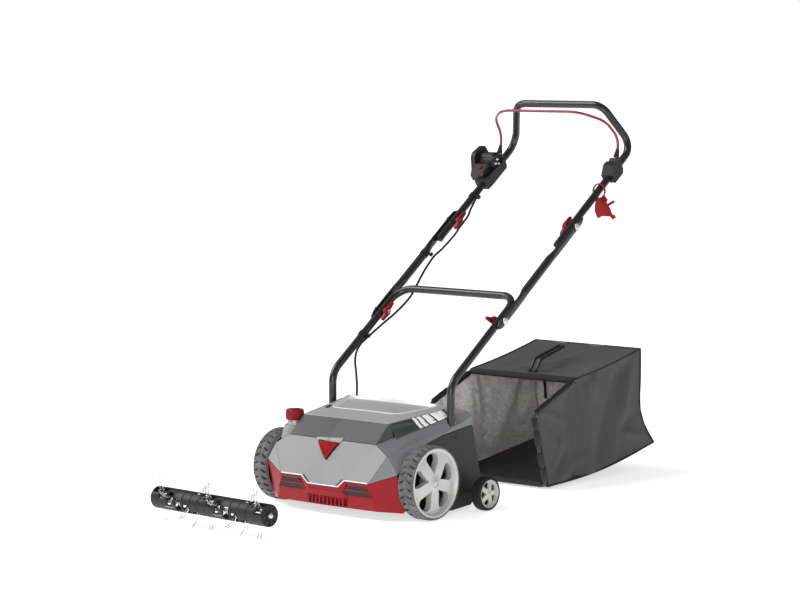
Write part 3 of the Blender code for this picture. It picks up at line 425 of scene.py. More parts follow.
shells = {  # CAD node: (finish, edge radius)
    "hood_shell": (hoodPlastic, 0.0009),
    "window_band": (bandPlastic, 0.0009),
    "shoulder_left": (hoodPlastic, 0.0009),
    # the right shoulder gets a darker grey than the left one: painted shade
    "shoulder_right": (shadedShoulderPlastic, 0.0009),
    "front_bumper": (redPlastic, 0.0008),
    "vent_grille_left": (blackPlastic, 0.0),
    "vent_grille_right": (blackPlastic, 0.0),
    "base_housing": (housingPlastic, 0.0012),
    "rear_flap": (blackPlastic, 0.0004),
    "cable_gland": (blackPlastic, 0.0006),
    "switch_housing": (blackPlastic, 0.0012),
    "bail_holder": (blackPlastic, 0.0012),
    "bail_sleeve_left": (blackPlastic, 0.0004),
    "bail_sleeve_right": (blackPlastic, 0.0004),
    "lock_button": (redPlastic, 0.0008),
    "cord_hook": (redPlastic, 0.0006),
    "bag_floor": (blackPlastic, 0.0005),
    "motor": (roughSteel, 0.0),
    "motor_pulley": (blackPlastic, 0.0004),
    "roller_pulley": (blackPlastic, 0.0004),
    "roller_bearing_left": (brightSteel, 0.0003),
    "roller_bearing_right": (brightSteel, 0.0003),
    "drive_belt": (beltRubber, 0.0),
    "blade_roller": (roughSteel, 0.0),
    "rear_axle": (brightSteel, 0.0004),
    "front_axle_carrier": (brightSteel, 0.0004),
    "clamp_bolt_lower_left": (brightSteel, 0.0004),
    "clamp_bolt_lower_right": (brightSteel, 0.0004),
    "clamp_bolt_upper_left": (brightSteel, 0.0004),
    "clamp_bolt_upper_right": (brightSteel, 0.0004),
}
for nodeName, (nodeFinish, edge) in shells.items():
    dressNode(nodeName, nodeFinish, edge)
print("covers and housing dressed")

bumperFace = [((0, -0.119, 0.072), (0, -0.113, 0.024), (0.062, -0.111, 0.024), (0.050, -0.118, 0.072)),
              ((0.050, -0.118, 0.072), (0.062, -0.111, 0.024), (0.070, -0.1165, 0.089)),
              ((0.070, -0.1165, 0.089), (0.062, -0.111, 0.024), (0.160, -0.103, 0.023),
               (0.1425, -0.113, 0.0885))]


# the CAD shells' surfaces, to lay trim on, and plain faces where a shell has slots
def skinTree(names, extra=()):
    points, faces = [], []
    for corners in [f for face in extra for f in (face, mirrored(face))]:
        faces.append([len(points) + n for n in range(len(corners))])
        points += [toFrame @ Vector(p) for p in corners]
    for name in names:
        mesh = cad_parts[name].data
        faces += [[len(points) + v for v in polygon.vertices] for polygon in mesh.polygons]
        points += [v.co for v in mesh.vertices]
    return BVHTree.FromPolygons(points, faces)


frontSkin = skinTree(("hood_shell", "window_band", "shoulder_left", "shoulder_right"), bumperFace)
sideSkin = skinTree(("window_band", "shoulder_right", "shoulder_left", "top_cover"))


def onSkin(tree, place, toward, lift=0.0):  # the surface point met from outside, moved back out by lift
    toward = Vector(toward).normalized()
    hit = tree.ray_cast(toFrame @ Vector(place) - toward * 0.06, toward)[0]
    return (toFrame.inverted() @ hit if hit else Vector(place)) - toward * lift


def onFront(x, z, lift):
    return onSkin(frontSkin, (x, -0.11, z), (0, 1, 0), lift)


# rings of (grow, lift) over an outline of (x, z)
def frontTrim(name, outline, levels, finish, sharp=30):
    middle = [sum(p[k] for p in outline) / len(outline) for k in (0, 1)]
    size = min(math.dist(p, middle) for p in outline)
    bm = bmesh.new()
    rings = []
    for grow, lift in levels:
        share = 1 + grow / size
        rings.append([bm.verts.new(onFront(middle[0] + (x - middle[0]) * share,
                                middle[1] + (z - middle[1]) * share, lift))
                      for x, z in outline])
    joinRings(bm, rings)
    return finishPiece(name, bm, finish, "chassis", (), sharp)


def edgePoints(points, step):  # extra points along an outline's straight edges
    made = []
    for a, b in zip(points, points[1:] + points[:1]):
        count = max(1, round(math.dist(a, b) / step))
        made += [tuple(p + (q - p) * k / count for p, q in zip(a, b)) for k in range(count)]
    return made


badge = {"top": 0.1785, "bottom": 0.1365, "left": -0.0325, "right": 0.0355, "corner": 0.0048,
         "tilt": 0.001}


def makeBadge():
    left, right, top = badge["left"], badge["right"], badge["top"]
    points = [(left, top - badge["tilt"]), (right, top + badge["tilt"]),
              ((left + right) / 2, badge["bottom"])]
    shape = edgePoints(roundedOutline(points, [badge["corner"]] * 3, 6), 0.006)

    def stack(name, levels, finish, stands=()):
        bm = bmesh.new()
        middle = Vector((sum(p[0] for p in shape) / len(shape), sum(p[1] for p in shape) / len(shape)))
        rings = []
        for grow, lift in levels:
            ring = []
            for x, z in shape:
                off = Vector((x, z)) - middle
                spot = middle + off * (1 + grow / 0.0155)
                ring.append(bm.verts.new(onFront(spot.x, spot.y, lift)))
            rings.append(ring)
        joinRings(bm, rings)
        finishPiece(name, bm, finish, "chassis", stands, 25)

    stack("frontBadge",
          ((0.0, -0.001), (0.0, 0.0042), (-0.0010, 0.0054), (-0.0042, 0.0054), (-0.0050, 0.0036),
           (-0.0078, 0.0034),
                         (-0.0084, 0.0044)), redPlastic, ["front_badge"])
    stack("badgeSlot", ((0.0034, -0.001), (0.0034, 0.0006), (0.0, 0.0006)), blackPlastic)
    bezel = [(-0.0420, 0.1850), (0.0430, 0.1890), (0.0400, 0.1800), (0.0365, 0.1775), (-0.0330, 0.1805),
             (-0.0372, 0.1785)]
    frontTrim("badgeBezel", edgePoints(bezel, 0.006), ((0.0, -0.001), (0.0, 0.0024), (-0.0006, 0.0032)),
              hoodPlastic)


makeBadge()


def makeHoodBead():  # a lip along the hood's lower edge, its pale finish a painted highlight line
    right = [(0.0, 0.0745), (0.0490, 0.0745), (0.0690, 0.0912), (0.1400, 0.0905)]
    line = [(-x, z) for x, z in reversed(right[1:])] + right
    path = []
    for a, b in zip(line, line[1:]):
        path += [onFront(a[0] + (b[0] - a[0]) * k / 8, a[1] + (b[1] - a[1]) * k / 8,
                         0.0002) for k in range(8)]
    bm = sweep(path + [onFront(*line[-1], 0.0002)], 0.0017, 10)
    finishPiece("hoodLowerBead", bm, paintedHighlightPlastic, "chassis", (), 50)
    for sign, word in ((-1, "Left"), (1, "Right")):
        # flat slate plates on the hood's steps: painted shade of the recessed notches
        notch = [(sign * x, z) for x,
                 z in ((0.0415, 0.0762), (0.0500, 0.0762), (0.0690, 0.0925), (0.0620, 0.0935))]
        frontTrim("hoodNotchShade" + word, edgePoints(notch, 0.004), ((0.0, -0.001), (0.0, 0.0005)),
                  bandPlastic)


makeHoodBead()

vents = {"upper": ((0.085, 0.0830), (0.134, 0.0830), (0.142, 0.0712), (0.066, 0.0712)),
         "lower": ((0.0665, 0.0685), (0.144, 0.0685), (0.151, 0.0552), (0.061, 0.0552))}


def makeVents():  # meshed inlets with slanted ends, each in a raised frame
    for sign, word in ((-1, "Left"), (1, "Right")):
        for row, corners in vents.items():
            outline = edgePoints([(sign * x, z) for x, z in corners], 0.005)
            middle = [sum(p[k] for p in outline) / len(outline) for k in (0, 1)]

            def ring(bm, inset, lift, outline=outline, middle=middle):
                made = []
                for x, z in outline:
                    dx, dz = x - middle[0], z - middle[1]
                    made.append(bm.verts.new(onFront(middle[0] + dx * (1 - inset / 0.036),
                                            middle[1] + dz * (1 - inset / 0.0062), lift)))
                return made

            bm = bmesh.new()
            joinRings(bm,
                      [ring(bm, inset, lift) for inset,
                       lift in ((-0.0008, -0.0010), (-0.0008, 0.0010), (-0.0002, 0.0016),
                                (0.0008, 0.0014), (0.0011, -0.0004), (0.0004, -0.0010))],
                      closed=True)
            finishPiece("ventFrame" + row.capitalize() + word, bm, redPlastic, "chassis",
                        (), 40)
            bm = bmesh.new()
            joinRings(bm,
                      [ring(bm, inset, lift) for inset, lift in ((0.0009, -0.0010), (0.0009, 0.0003))])
            finishPiece("ventMesh" + row.capitalize() + word, bm, ventMesh, "chassis",
                        (), 40)


makeVents()

comb = {"ribs": 10, "left": -0.052, "right": 0.072, "low": 0.0275, "high": 0.0480, "proud": 0.0050,
        "thick": 0.0048}


def makeComb():  # ribs under a ledge, across the bumper's middle
    bm = bmesh.new()
    left, right = comb["left"], comb["right"]
    for i in range(comb["ribs"]):
        x = left + (right - left) * (i + 0.5) / comb["ribs"]
        face = onFront(x, 0.040, 0.0).y
        side = [(face + 0.004, comb["high"]), (face - 0.0020, comb["high"]),
                (face - comb["proud"], comb["low"] + 0.005),
                (face - comb["proud"] + 0.0015, comb["low"] - 0.001),
                (face + 0.004, comb["low"] - 0.001)]
        plate(side, lambda y, z, depth: Vector((x - comb["thick"] / 2 + depth, y, z)), comb["thick"],
              bm)
    soften(finishPiece("bumperComb", bm, redPlastic, "chassis"), 0.0006, 2)
    ledge = edgePoints([(left - 0.004, 0.0640), (right - 0.002, 0.0600), (right + 0.0070, 0.0480),
                        (left - 0.0015, 0.0480)], 0.008)
    frontTrim("combLedge", ledge, ((0.0, -0.001), (0.0, 0.0016), (-0.0008, 0.0026)), redPlastic)
    # a dark red sheet behind the ribs: painted shadow under the ledge
    back = edgePoints([(left - 0.001, 0.0485), (right + 0.005, 0.0485), (right + 0.002, 0.0262),
                       (left + 0.001, 0.0262)], 0.008)
    frontTrim("combBackShadow", back, ((0.0, -0.001), (0.0, 0.0003)), paintedShadowRed)


makeComb()

cover = {"front": 0.034, "rear": 0.148, "halfFront": 0.107, "halfRear": 0.150,
         "rounding": (0.034, 0.034, 0.016, 0.016), "wall": 0.011, "deep": 0.0060}


def makeCover():  # the top cover with its recessed panel, as rings around the panel's middle; the rim ring and the panel's walls take a pale finish that paints their highlight
    right = [Vector(p) for p in ((0.139, -0.032, 0.226), (0.163, 0.1115, 0.243), (0.172, 0.165, 0.252))]
    edge = [Vector((0, -0.046, 0.2295))] + right + [Vector((0, 0.168,
                            0.254))] + mirrored(reversed(right))
    right = [Vector(p) for p in ((0.139, -0.032, 0.2235), (0.1632, 0.1110, 0.2405),
                            (0.180, 0.112, 0.229), (0.186, 0.206, 0.238))]
    skirt = [Vector((0, -0.046, 0.2270))] + right + [Vector((0, 0.209,
                            0.243))] + mirrored(reversed(right))
    half, deepHalf = cover["halfFront"], cover["halfRear"]
    outline = roundedOutline([(-half, cover["front"]), (half, cover["front"]),
                            (deepHalf, cover["rear"]), (-deepHalf, cover["rear"])], cover["rounding"],
                            7)
    outline = [Vector((x, y, 0)) for x, y in outline]
    hub = Vector((0, 0.092, 0))

    def reach(loop, turn):  # where the ray at that turn leaves a closed loop
        away = Vector((math.cos(turn), math.sin(turn)))
        for a, b in zip(loop, loop[1:] + loop[:1]):
            p, q = (a - hub).xy, (b - hub).xy
            cross = away.cross(q - p)
            if abs(cross) < 1e-9:
                continue
            far, share = p.cross(q - p) / cross, p.cross(away) / cross
            if far > 0 and -1e-6 <= share <= 1 + 1e-6:
                return a.lerp(b, share)

    turns = sorted({round(t,
                          5) for t in [math.tau * k / 120 for k in range(120)]
                          + [math.atan2(*(p - hub).yx) % math.tau for p in edge + skirt]})
    bm = bmesh.new()

    def top(spot):
        return 0.2302 + 0.1320 * (spot.y + 0.032) + 0.0020 * (1 - abs(spot.x) / 0.15)

    rings = [[bm.verts.new(reach(skirt, t)) for t in turns],
             [bm.verts.new(reach(edge, t) - Vector((0, 0, 0.0008))) for t in turns]]
    rings.append([bm.verts.new(reach(edge, t).lerp(hub + Vector((0, 0, 0.24)), 0.008)) for t in turns])
    wall, deep = cover["wall"], cover["deep"]
    for grow, rise in ((0.0045, 0.0), (0.0030, 0.0010), (0.0005, 0.0012), (-0.0010, 0.0),
                       (-wall * 0.8, -deep * 0.86), (-wall, -deep), (-wall - 0.004, -deep),
                       (-0.045, -deep + 0.0008),
                       (-0.050, -deep + 0.0012)):
        ring = []
        for t in turns:
            spot = reach(outline, t)
            away = (spot - hub).length
            spot = hub + (spot - hub) * max(0.12, (away + grow) / away)
            ring.append(bm.verts.new((spot.x, spot.y, top(spot) + rise)))
        rings.append(ring)
    joinRings(bm, rings, capped=False)
    bm.faces.ensure_lookup_table()
    # the rim ring and the panel walls take the pale painted-highlight finish
    for face in bm.faces[3 * len(turns):7 * len(turns)]:
        face.material_index = 1
    bm.faces.new(rings[-1])
    piece = finishPiece("topCover", bm, coverPlastic, "chassis", ["top_cover"], 24,
                        [paintedHighlightPlastic])
    thick = piece.modifiers.new("wallThickness", "SOLIDIFY")
    thick.thickness = 0.002
    thick.offset = -1
    # a thin black plate on the panel where its slot lies: painted shade of the opening
    slot = bmesh.new()
    plate(roundedOutline([(-0.126, 0.030), (-0.114, 0.030), (-0.118, 0.052), (-0.130, 0.052)],
                         [0.003] * 4, 3),
          lambda x, y, depth: Vector((x, y, 0.2360 + 0.13 * (y - 0.02) + depth)), 0.0016, slot)
    finishPiece("coverSlotShade", slot, blackPlastic, "chassis")
    boss = bmesh.new()
    low, high = Vector((-0.163, 0.190, 0.2300)), Vector((-0.163, 0.190, 0.2475))
    aroundLine(low, high,
               ((0, 0.0062), (0, 0.0170), (0.55, 0.0160), (0.80, 0.0140), (0.88, 0.0105),
                (0.9, 0.0062)), 40, boss)
    finishPiece("cableBoss", boss, coverPlastic, "chassis", (), 30)


makeCover()

wing = {"first": -0.028, "last": 0.1380, "rows": 30, "columns": 8,
        "lower": ((0.1432, -0.0760, 0.1810), (0.1552, -0.0457, 0.1842), (0.1593, -0.0080, 0.1936),
                  (0.1724, 0.0594, 0.2072), (0.1829, 0.1343, 0.2245), (0.1835, 0.1400, 0.2260)),
        "upper": ((0.1390, -0.0320, 0.2260), (0.1630, 0.1120, 0.2430), (0.1720, 0.1650, 0.2520)),
        "stripes": ((0.035, 0.0440), (0.0485, 0.0610), (0.0660, 0.0860), (0.0915, 0.1290)),
        "slant": 0.009}


def atY(line, y):  # the point of a line at that y, the ends carried on
    for a, b in zip(line, line[1:]):
        if y <= b[1]:
            break
    return Vector(a).lerp(Vector(b), (y - a[1]) / (b[1] - a[1]))


def onWing(y, down, lift, sign):  # 0 at the band's upper edge, 1 at the slate wing's lower edge
    toward = Vector((-sign * 0.75, 0, -0.66))
    upper, lower = [onSkin(sideSkin, Vector((sign, 1, 1)) * atY(wing[edge], y), toward,
                           lift) for edge in ("upper", "lower")]
    bridge = upper.lerp(lower, down)
    skin = onSkin(sideSkin, bridge, toward, lift)
    return skin if (skin - bridge).dot(toward) < 0 else bridge


def patch(name, rows, finish, body, thickness):  # a grid of points made a thin plate
    bm = bmesh.new()
    made = [[bm.verts.new(p) for p in row] for row in rows]
    for first, second in zip(made, made[1:]):
        for a, b, c, d in zip(first, first[1:], second[1:], second):
            bm.faces.new((a, b, c, d))
    bm.normal_update()
    piece = finishPiece(name, bm, finish, body, (), 40)
    thick = piece.modifiers.new("plateThickness", "SOLIDIFY")
    thick.thickness, thick.offset = thickness, 0
    return piece


def makeWing():
    rows, columns = wing["rows"], wing["columns"]
    for sign, word in ((-1, "Left"), (1, "Right")):
        grid = [[onWing(wing["first"] + (wing["last"] - wing["first"]) * j / rows,
                        0.02 + 0.98 * i / columns, 0.0005, sign)
                 for i in range(columns + 1)] for j in range(rows + 1)]
        patch("bandWing" + word, grid, bandPlastic, "chassis", 0.0012)
    for number, (first, last) in enumerate(wing["stripes"]):
        grid = [[onWing(first + (last - first) * j / 6 + wing["slant"] * i / 12, 0.06 + 0.89 * i / 12,
                        0.0014, 1) for i in range(13)] for j in range(7)]
        patch("bandStripe" + str(number + 1), grid, whitePrint, "chassis", 0.0004)


makeWing()


def makeScrews():  # recessed heads on the side walls, and their pocket rims
    bm = bmesh.new()
    for side in (-1, 1):
        for y, z in ((0.134, 0.181), (0.205, 0.110), (0.120, 0.030), (-0.045, 0.040)):
            around([(side * x, r) for x,
                    r in ((0.2098, 0), (0.2098, 0.0040), (0.2106, 0.0040), (0.2108, 0.0034),
                                                (0.2102, 0.0026), (0.2102, 0))], y, z, 16, into=bm)
    finishPiece("wallScrews", bm, blackPlastic, "chassis")


makeScrews()
print("front trim made")

knob = {"x": -0.172, "y": -0.030, "base": 0.2097, "ribs": 26, "ribDepth": 0.0011}


def makeKnob():
    bm = bmesh.new()
    count = knob["ribs"] * 6
    levels = ((0.0, 0.0200, 0), (0.0, 0.0216, 0), (0.0020, 0.0226, 0.6), (0.0045, 0.0232, 1),
              (0.0205, 0.0228, 1), (0.0238, 0.0220, 0.6),
              (0.0258, 0.0202, 0), (0.0260, 0.0170, 0), (0.0238, 0.0156, 0), (0.0234, 0.0, 0))
    rings = []
    for height, radius, share in levels:
        ring = []
        for i in range(count if radius else 1):
            turn = math.tau * i / max(count, 1)
            r = radius - knob["ribDepth"] * share * (0.5 - 0.5 * math.cos(turn * knob["ribs"])) ** 2
            ring.append(bm.verts.new((knob["x"] + r * math.cos(turn), knob["y"] + r * math.sin(turn),
                                    knob["base"] + height)))
        rings.append(ring)
    joinRings(bm, rings)
    grip = roundedOutline([(-0.0150, -0.0036), (0.0150, -0.0024), (0.0150, 0.0024), (-0.0150, 0.0036)],
                          [0.002] * 4, 4)
    plate(grip, lambda a, b,
          depth: Vector((knob["x"] + b, knob["y"] + a, knob["base"] + 0.0225 + depth)), 0.0045, bm)
    finishPiece("depthKnob", bm, redPlastic, "knob", ["depth_knob"], 40)
    bm = bmesh.new()
    low, high = Vector((knob["x"], knob["y"], 0.1700)), Vector((knob["x"], knob["y"], 0.2092))
    aroundLine(low, high,
               ((0, 0.0), (0, 0.0166), (0.55, 0.0171), (0.60, 0.0173), (0.97, 0.0173), (1, 0.0168),
                (1, 0)), 64, bm)
    finishPiece("depthScaleRing", bm, rimSilver, "chassis", ["depth_scale_ring"], 40)
    bm = bmesh.new()
    low, high = Vector((knob["x"], knob["y"], 0.1580)), Vector((knob["x"], knob["y"], 0.1985))
    rings = ((0, 0.0178), (0, 0.0335), (0.30, 0.0325), (0.68, 0.0285), (0.92, 0.0262), (0.985, 0.0248),
             (1, 0.0230), (1, 0.0190), (0.97, 0.0178))
    aroundLine(low, high, rings, 64, bm)
    finishPiece("knobCollar", bm, hoodPlastic, "chassis", (), 35)
    bm = bmesh.new()
    for i in range(24):
        turn, long = math.tau * i / 24, i % 4 == 0
        out = Vector((math.cos(turn), math.sin(turn), 0))
        across = Vector((-out.y, out.x, 0))
        tall = 0.0085 if long else 0.005
        plate([(-0.0004, 0), (0.0004, 0), (0.0004, tall), (-0.0004, tall)],
              lambda a, b, depth: Vector((knob["x"], knob["y"], 0.2070 - b)) + across * a
              + out * (0.0171 + depth), 0.0004, bm)
    finishPiece("depthScaleTicks", bm, blackPlastic, "chassis")


makeKnob()

frontWheel = {"radius": 0.090, "rim": 0.0840, "inner": 0.215, "outer": 0.261, "bore": 0.0063,
              "blocks": 30, "groove": 0.0030,
              "holeInner": 0.24, "holeOuter": 0.862, "holeHalf": 0.385, "turned": 4, "finish": rubber,
              "wall": 0.36}
rearWheel = {"radius": 0.042, "rim": 0.0345, "inner": 0.240, "outer": 0.268, "bore": 0.0053,
             "blocks": 30, "groove": 0.0012,
             "holeInner": 0.26, "holeOuter": 0.83, "holeHalf": 0.40, "turned": 20, "finish": blackRubberAndGrooveShade,
             "wall": 0.16}


def makeTyre(name, size, side, y, z, body, node):
    bm = bmesh.new()
    width, radius, rim = size["outer"] - size["inner"], size["radius"], size["rim"] + 0.0004
    blocks, wall = size["blocks"], radius - size["rim"]
    fine = 10
    count = blocks * fine
    across = ((0.0, rim, 0), (0.0, radius - wall * 0.62, 0), (0.05, radius - wall * 0.30, 0.0),
              (0.11, radius - wall * 0.12, 1), (0.19, radius - wall * 0.02, 1),
              (0.30, radius, 1), (0.40, radius, 1), (0.43, radius, 0), (0.57, radius, 0),
              (0.60, radius, 1), (0.70, radius, 1),
              (0.81, radius - wall * 0.02, 1), (0.89, radius - wall * 0.12, 1),
              (0.95, radius - wall * 0.30, 0.0), (1.0, radius - wall * 0.62, 0), (1.0, rim, 0))
    rings = []
    for share, r, cut in across:
        x = side * (size["inner"] + width * share)
        sweepBack = 0.55 * abs(share - 0.5) * 2  # chevrons: the groove runs back towards each edge
        ring = []
        for i in range(count):
            depth = size["groove"] * cut if (i / fine - sweepBack) % 1.0 < 0.2 else 0.0
            turn = math.tau * i / count
            ring.append(bm.verts.new((x, y + (r - depth) * math.cos(turn),
                                    z + (r - depth) * math.sin(turn))))
        rings.append(ring)
    joinRings(bm, rings, closed=True)
    # groove faces take the near-black rubber: painted shade in the tread grooves
    bm.faces.ensure_lookup_table()
    for k, (share, _, cut) in enumerate(across):
        for i in range(count):
            if cut and across[(k + 1) % len(across)][2] and (i / fine
                                    - 0.55 * abs(share - 0.5) * 2) % 1.0 < 0.19:
                bm.faces[k * count + i].material_index = 1
    finishPiece(name, bm, size["finish"], body, [node], 40, [blackRubberAndGrooveShade])


def makeRim(name, size, side, y, z, body, node):
    bm = bmesh.new()
    width, rim = size["outer"] - size["inner"], size["rim"]
    spokes, perSpoke = 5, 24
    count = spokes * perSpoke
    outer, inner = size["outer"], size["inner"]
    reach = [size["holeInner"]
             + (size["holeOuter"] - size["holeInner"]) * (0.5 - 0.5 * math.cos(math.pi * k / 14))
             for k in range(15)]

    def halfHole(share):  # half the opening's angle, rounded at both of its ends
        inside = (share - size["holeInner"]) / (size["holeOuter"] - size["holeInner"])
        full = size["holeHalf"] * (1 - max(0.0, 1 - inside) ** 2.6)
        return max(0.004, full * max(0.0, 1 - abs(inside) ** 9) ** 0.5)

    def dish(share):  # how far in the spoked face lies at that share of the radius
        return width * (0.10 + 0.14 * max(0.0, (share - 0.22) / 0.64) ** 1.5)

    faceRings, backRings = [], []
    for share in reach:
        half = halfHole(share)
        front, back = [], []
        for i in range(count):
            inSpoke = (i % perSpoke) / perSpoke
            middle = math.radians(90 + size["turned"]) + math.tau * (i // perSpoke) / spokes
            # columns slide so that they follow the opening's edge
            open0, open1 = 5 / perSpoke, 19 / perSpoke
            turnHalf = math.pi / spokes
            if inSpoke < open0:
                angle = -turnHalf + (turnHalf - half) * inSpoke / open0
            elif inSpoke > open1:
                angle = half + (turnHalf - half) * (inSpoke - open1) / (1 - open1)
            else:
                angle = -half + 2 * half * (inSpoke - open0) / (open1 - open0)
            r = share * rim
            for ring, x in ((front, outer - dish(share)),
                            (back, outer - dish(share) - width * size["wall"])):
                ring.append(bm.verts.new((side * x, y + r * math.cos(middle + angle),
                                        z + r * math.sin(middle + angle))))
        faceRings.append(front)
        backRings.append(back)

    def isOpen(ringIndex, i):
        return 5 <= i % perSpoke < 19 and 0 <= ringIndex < len(reach) - 1

    for k in range(len(reach) - 1):
        for i in range(count):
            j = (i + 1) % count
            if isOpen(k, i):
                for a, gone in ((k, isOpen(k - 1, i)), (k + 1, isOpen(k + 1, i))):
                    if not gone:
                        bm.faces.new([faceRings[a][i], faceRings[a][j], backRings[a][j],
                                    backRings[a][i]])
                continue
            bm.faces.new([faceRings[k][i], faceRings[k][j], faceRings[k + 1][j], faceRings[k + 1][i]])
            bm.faces.new([backRings[k][i], backRings[k + 1][i], backRings[k + 1][j], backRings[k][j]])
            if isOpen(k, j):
                bm.faces.new([faceRings[k][j], faceRings[k + 1][j], backRings[k + 1][j],
                              backRings[k][j]])
            if isOpen(k, (i - 1) % count):
                bm.faces.new([faceRings[k][i], faceRings[k + 1][i], backRings[k + 1][i],
                              backRings[k][i]])

    def band(profile, start, end):  # rings of the plain round parts, between two rings already made
        made = [start]
        for x, r in profile:
            ring = []
            for i in range(count):
                spokeTurn = math.radians(90 + size["turned"]) + math.tau * (i // perSpoke) / spokes
                turn = spokeTurn + ((i % perSpoke) / perSpoke - 0.5) * math.tau / spokes
                ring.append(bm.verts.new((side * x, y + r * math.cos(turn), z + r * math.sin(turn))))
            made.append(ring)
        made.append(end)
        joinRings(bm, made, capped=False)

    face = outer - dish(size["holeOuter"])
    lip = rim * 0.90
    band([(face + width * 0.01, rim * 0.885), (outer - width * 0.10, lip),
          (outer - 0.0014, rim * 0.925), (outer - 0.0006, rim * 0.960),
          (outer - 0.0010, rim * 0.995), (inner + 0.003, rim * 0.995), (inner + 0.003, rim * 0.93),
          (outer - width * 0.72, rim * 0.90)],
         faceRings[-1], backRings[-1])
    hub = size["holeInner"] * rim
    band([(outer - dish(size["holeInner"]) + width * 0.02, hub * 0.80),
          (outer - width * 0.05, hub * 0.62), (outer - width * 0.045, hub * 0.50),
          (outer - width * 0.10, hub * 0.45), (outer - width * 0.10, size["bore"]),
          (inner + 0.002, size["bore"]), (inner + 0.002, hub * 0.80),
          (outer - width * 0.60, hub * 0.86)], faceRings[0], backRings[0])
    # a black disc inside the wheel behind the openings: painted shade seen through them
    backing = bmesh.new()
    around([(side * x, r) for x,
            r in ((inner + 0.006, hub * 0.6), (inner + 0.006, rim * 0.94), (inner + 0.0075, rim * 0.94),
                  (inner + 0.0075, hub * 0.6))],
           y, z, 64, closed=True, into=backing)
    finishPiece(name + "ShadeBacking", backing, blackPlastic, body)
    finishPiece(name, bm, rimSilver, body, [node], 38)
    cap = bmesh.new()
    around([(side * x, r) for x,
            r in ((outer - width * 0.098, 0), (outer - width * 0.098, hub * 0.44),
                  (outer - width * 0.05, hub * 0.43),
                                       (outer - width * 0.025, hub * 0.34),
                                       (outer - width * 0.015, hub * 0.18),
                                       (outer - width * 0.012, 0))], y, z, 48, into=cap)
    finishPiece(name + "Cap", cap, rimSilver, body, (), 38)


for side, word in ((-1, "left"), (1, "right")):
    for place, size in (("front", frontWheel), ("rear", rearWheel)):
        low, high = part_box(place + "_" + word + "_tyre")
        y, z = (low.y + high.y) / 2 - frontAxleY, (low.z + high.z) / 2
        label = place + word.capitalize()
        makeTyre(label + "Tyre", size, side, y, z, place + "_wheel_" + word,
                 place + "_" + word + "_tyre")
        makeRim(label + "Rim", size, side, y, z, place + "_wheel_" + word, place + "_" + word + "_rim")
print("wheels made")

handle = {"x": 0.194, "radius": 0.0098, "footY": 0.1335, "footZ": 0.3105,
          "slope": math.atan2(0.6031, 0.7977),
          "lowerBolt": 0.321, "upperBolt": 0.611}
along = Vector((0, math.cos(handle["slope"]), math.sin(handle["slope"])))
above = Vector((0, -math.sin(handle["slope"]), math.cos(handle["slope"])))


def onHandle(y, x=0.0):
    return Vector((x, handle["footY"], handle["footZ"])) + along * ((y - handle["footY"]) / along.y)


def makeTubes():
    x, radius = handle["x"], handle["radius"]
    side = [Vector((x, handle["footY"], 0.1555)), onHandle(handle["footY"], x), onHandle(0.393, x)]
    path = rounded(side + mirrored(reversed(side)), [0, 0.055, 0.047, 0.047, 0.055, 0], 14)
    finishPiece("lowerTube", sweep(path, radius, 28), tubePaint, "chassis",
                ["handle_lower"], 60)
    side = [onHandle(0.552, x), onHandle(0.871, x), Vector((0.141, 0.807, 0.9765))]
    path = rounded(side + mirrored(reversed(side)), [0, 0.045, 0.042, 0.042, 0.045, 0], 14)
    finishPiece("upperLoopTube", sweep(path, radius, 28), tubePaint, "handle_top",
                ["handle_loop"], 60)
    flat, full = (0.2080, 0.0037, 0.0108), (0.2040, 0.0098, 0.0098)
    for sign, word in ((-1, "Left"), (1, "Right")):
        stations = []
        for k in range(61):
            y = 0.2995 + (0.6385 - 0.2995) * k / 60
            share = min(1.0, max(0.0, (y - 0.388) / 0.024)) * min(1.0, max(0.0, (0.533 - y) / 0.027))
            share = share * share * (3 - 2 * share)
            end = min(1.0, (min(y - 0.2995, 0.6385 - y) / 0.0125) + 0.18) ** 0.5
            size = [a + (b - a) * share for a, b in zip(flat, full)]
            stations.append((onHandle(y, sign * size[0]), size[1], size[2] * end))
        bm = bmesh.new()
        rings = []
        for middle, wide, high in stations:
            ring = []
            for i in range(28):
                turn = math.tau * i / 28
                c, s = math.cos(turn), math.sin(turn)
                square = 0.75  # flattened ends have full, rounded edges
                ring.append(bm.verts.new(middle
                                        + Vector((wide * math.copysign(abs(c) ** square, c), 0, 0))
                                         + above * (high * math.copysign(abs(s) ** square, s))))
            rings.append(ring)
        joinRings(bm, rings)
        finishPiece("middleTube" + word, bm, tubePaint, "handle_middle",
                    ["handle_middle_" + word.lower()], 50)
        plug = bmesh.new()
        start = onHandle(0.552, sign * x)
        aroundLine(start - along * 0.004, start + along * 0.001,
                   ((0, 0), (0, radius * 0.6), (0.25, radius * 0.96), (0.8, radius * 1.04),
                    (1, radius * 1.04),
                                                                    (1, 0)), 28, plug)
        finishPiece("tubePlug" + word, plug, blackPlastic, "handle_top")


makeTubes()

lever = {"wing": 0.031, "tail": 0.028, "turned": 118}


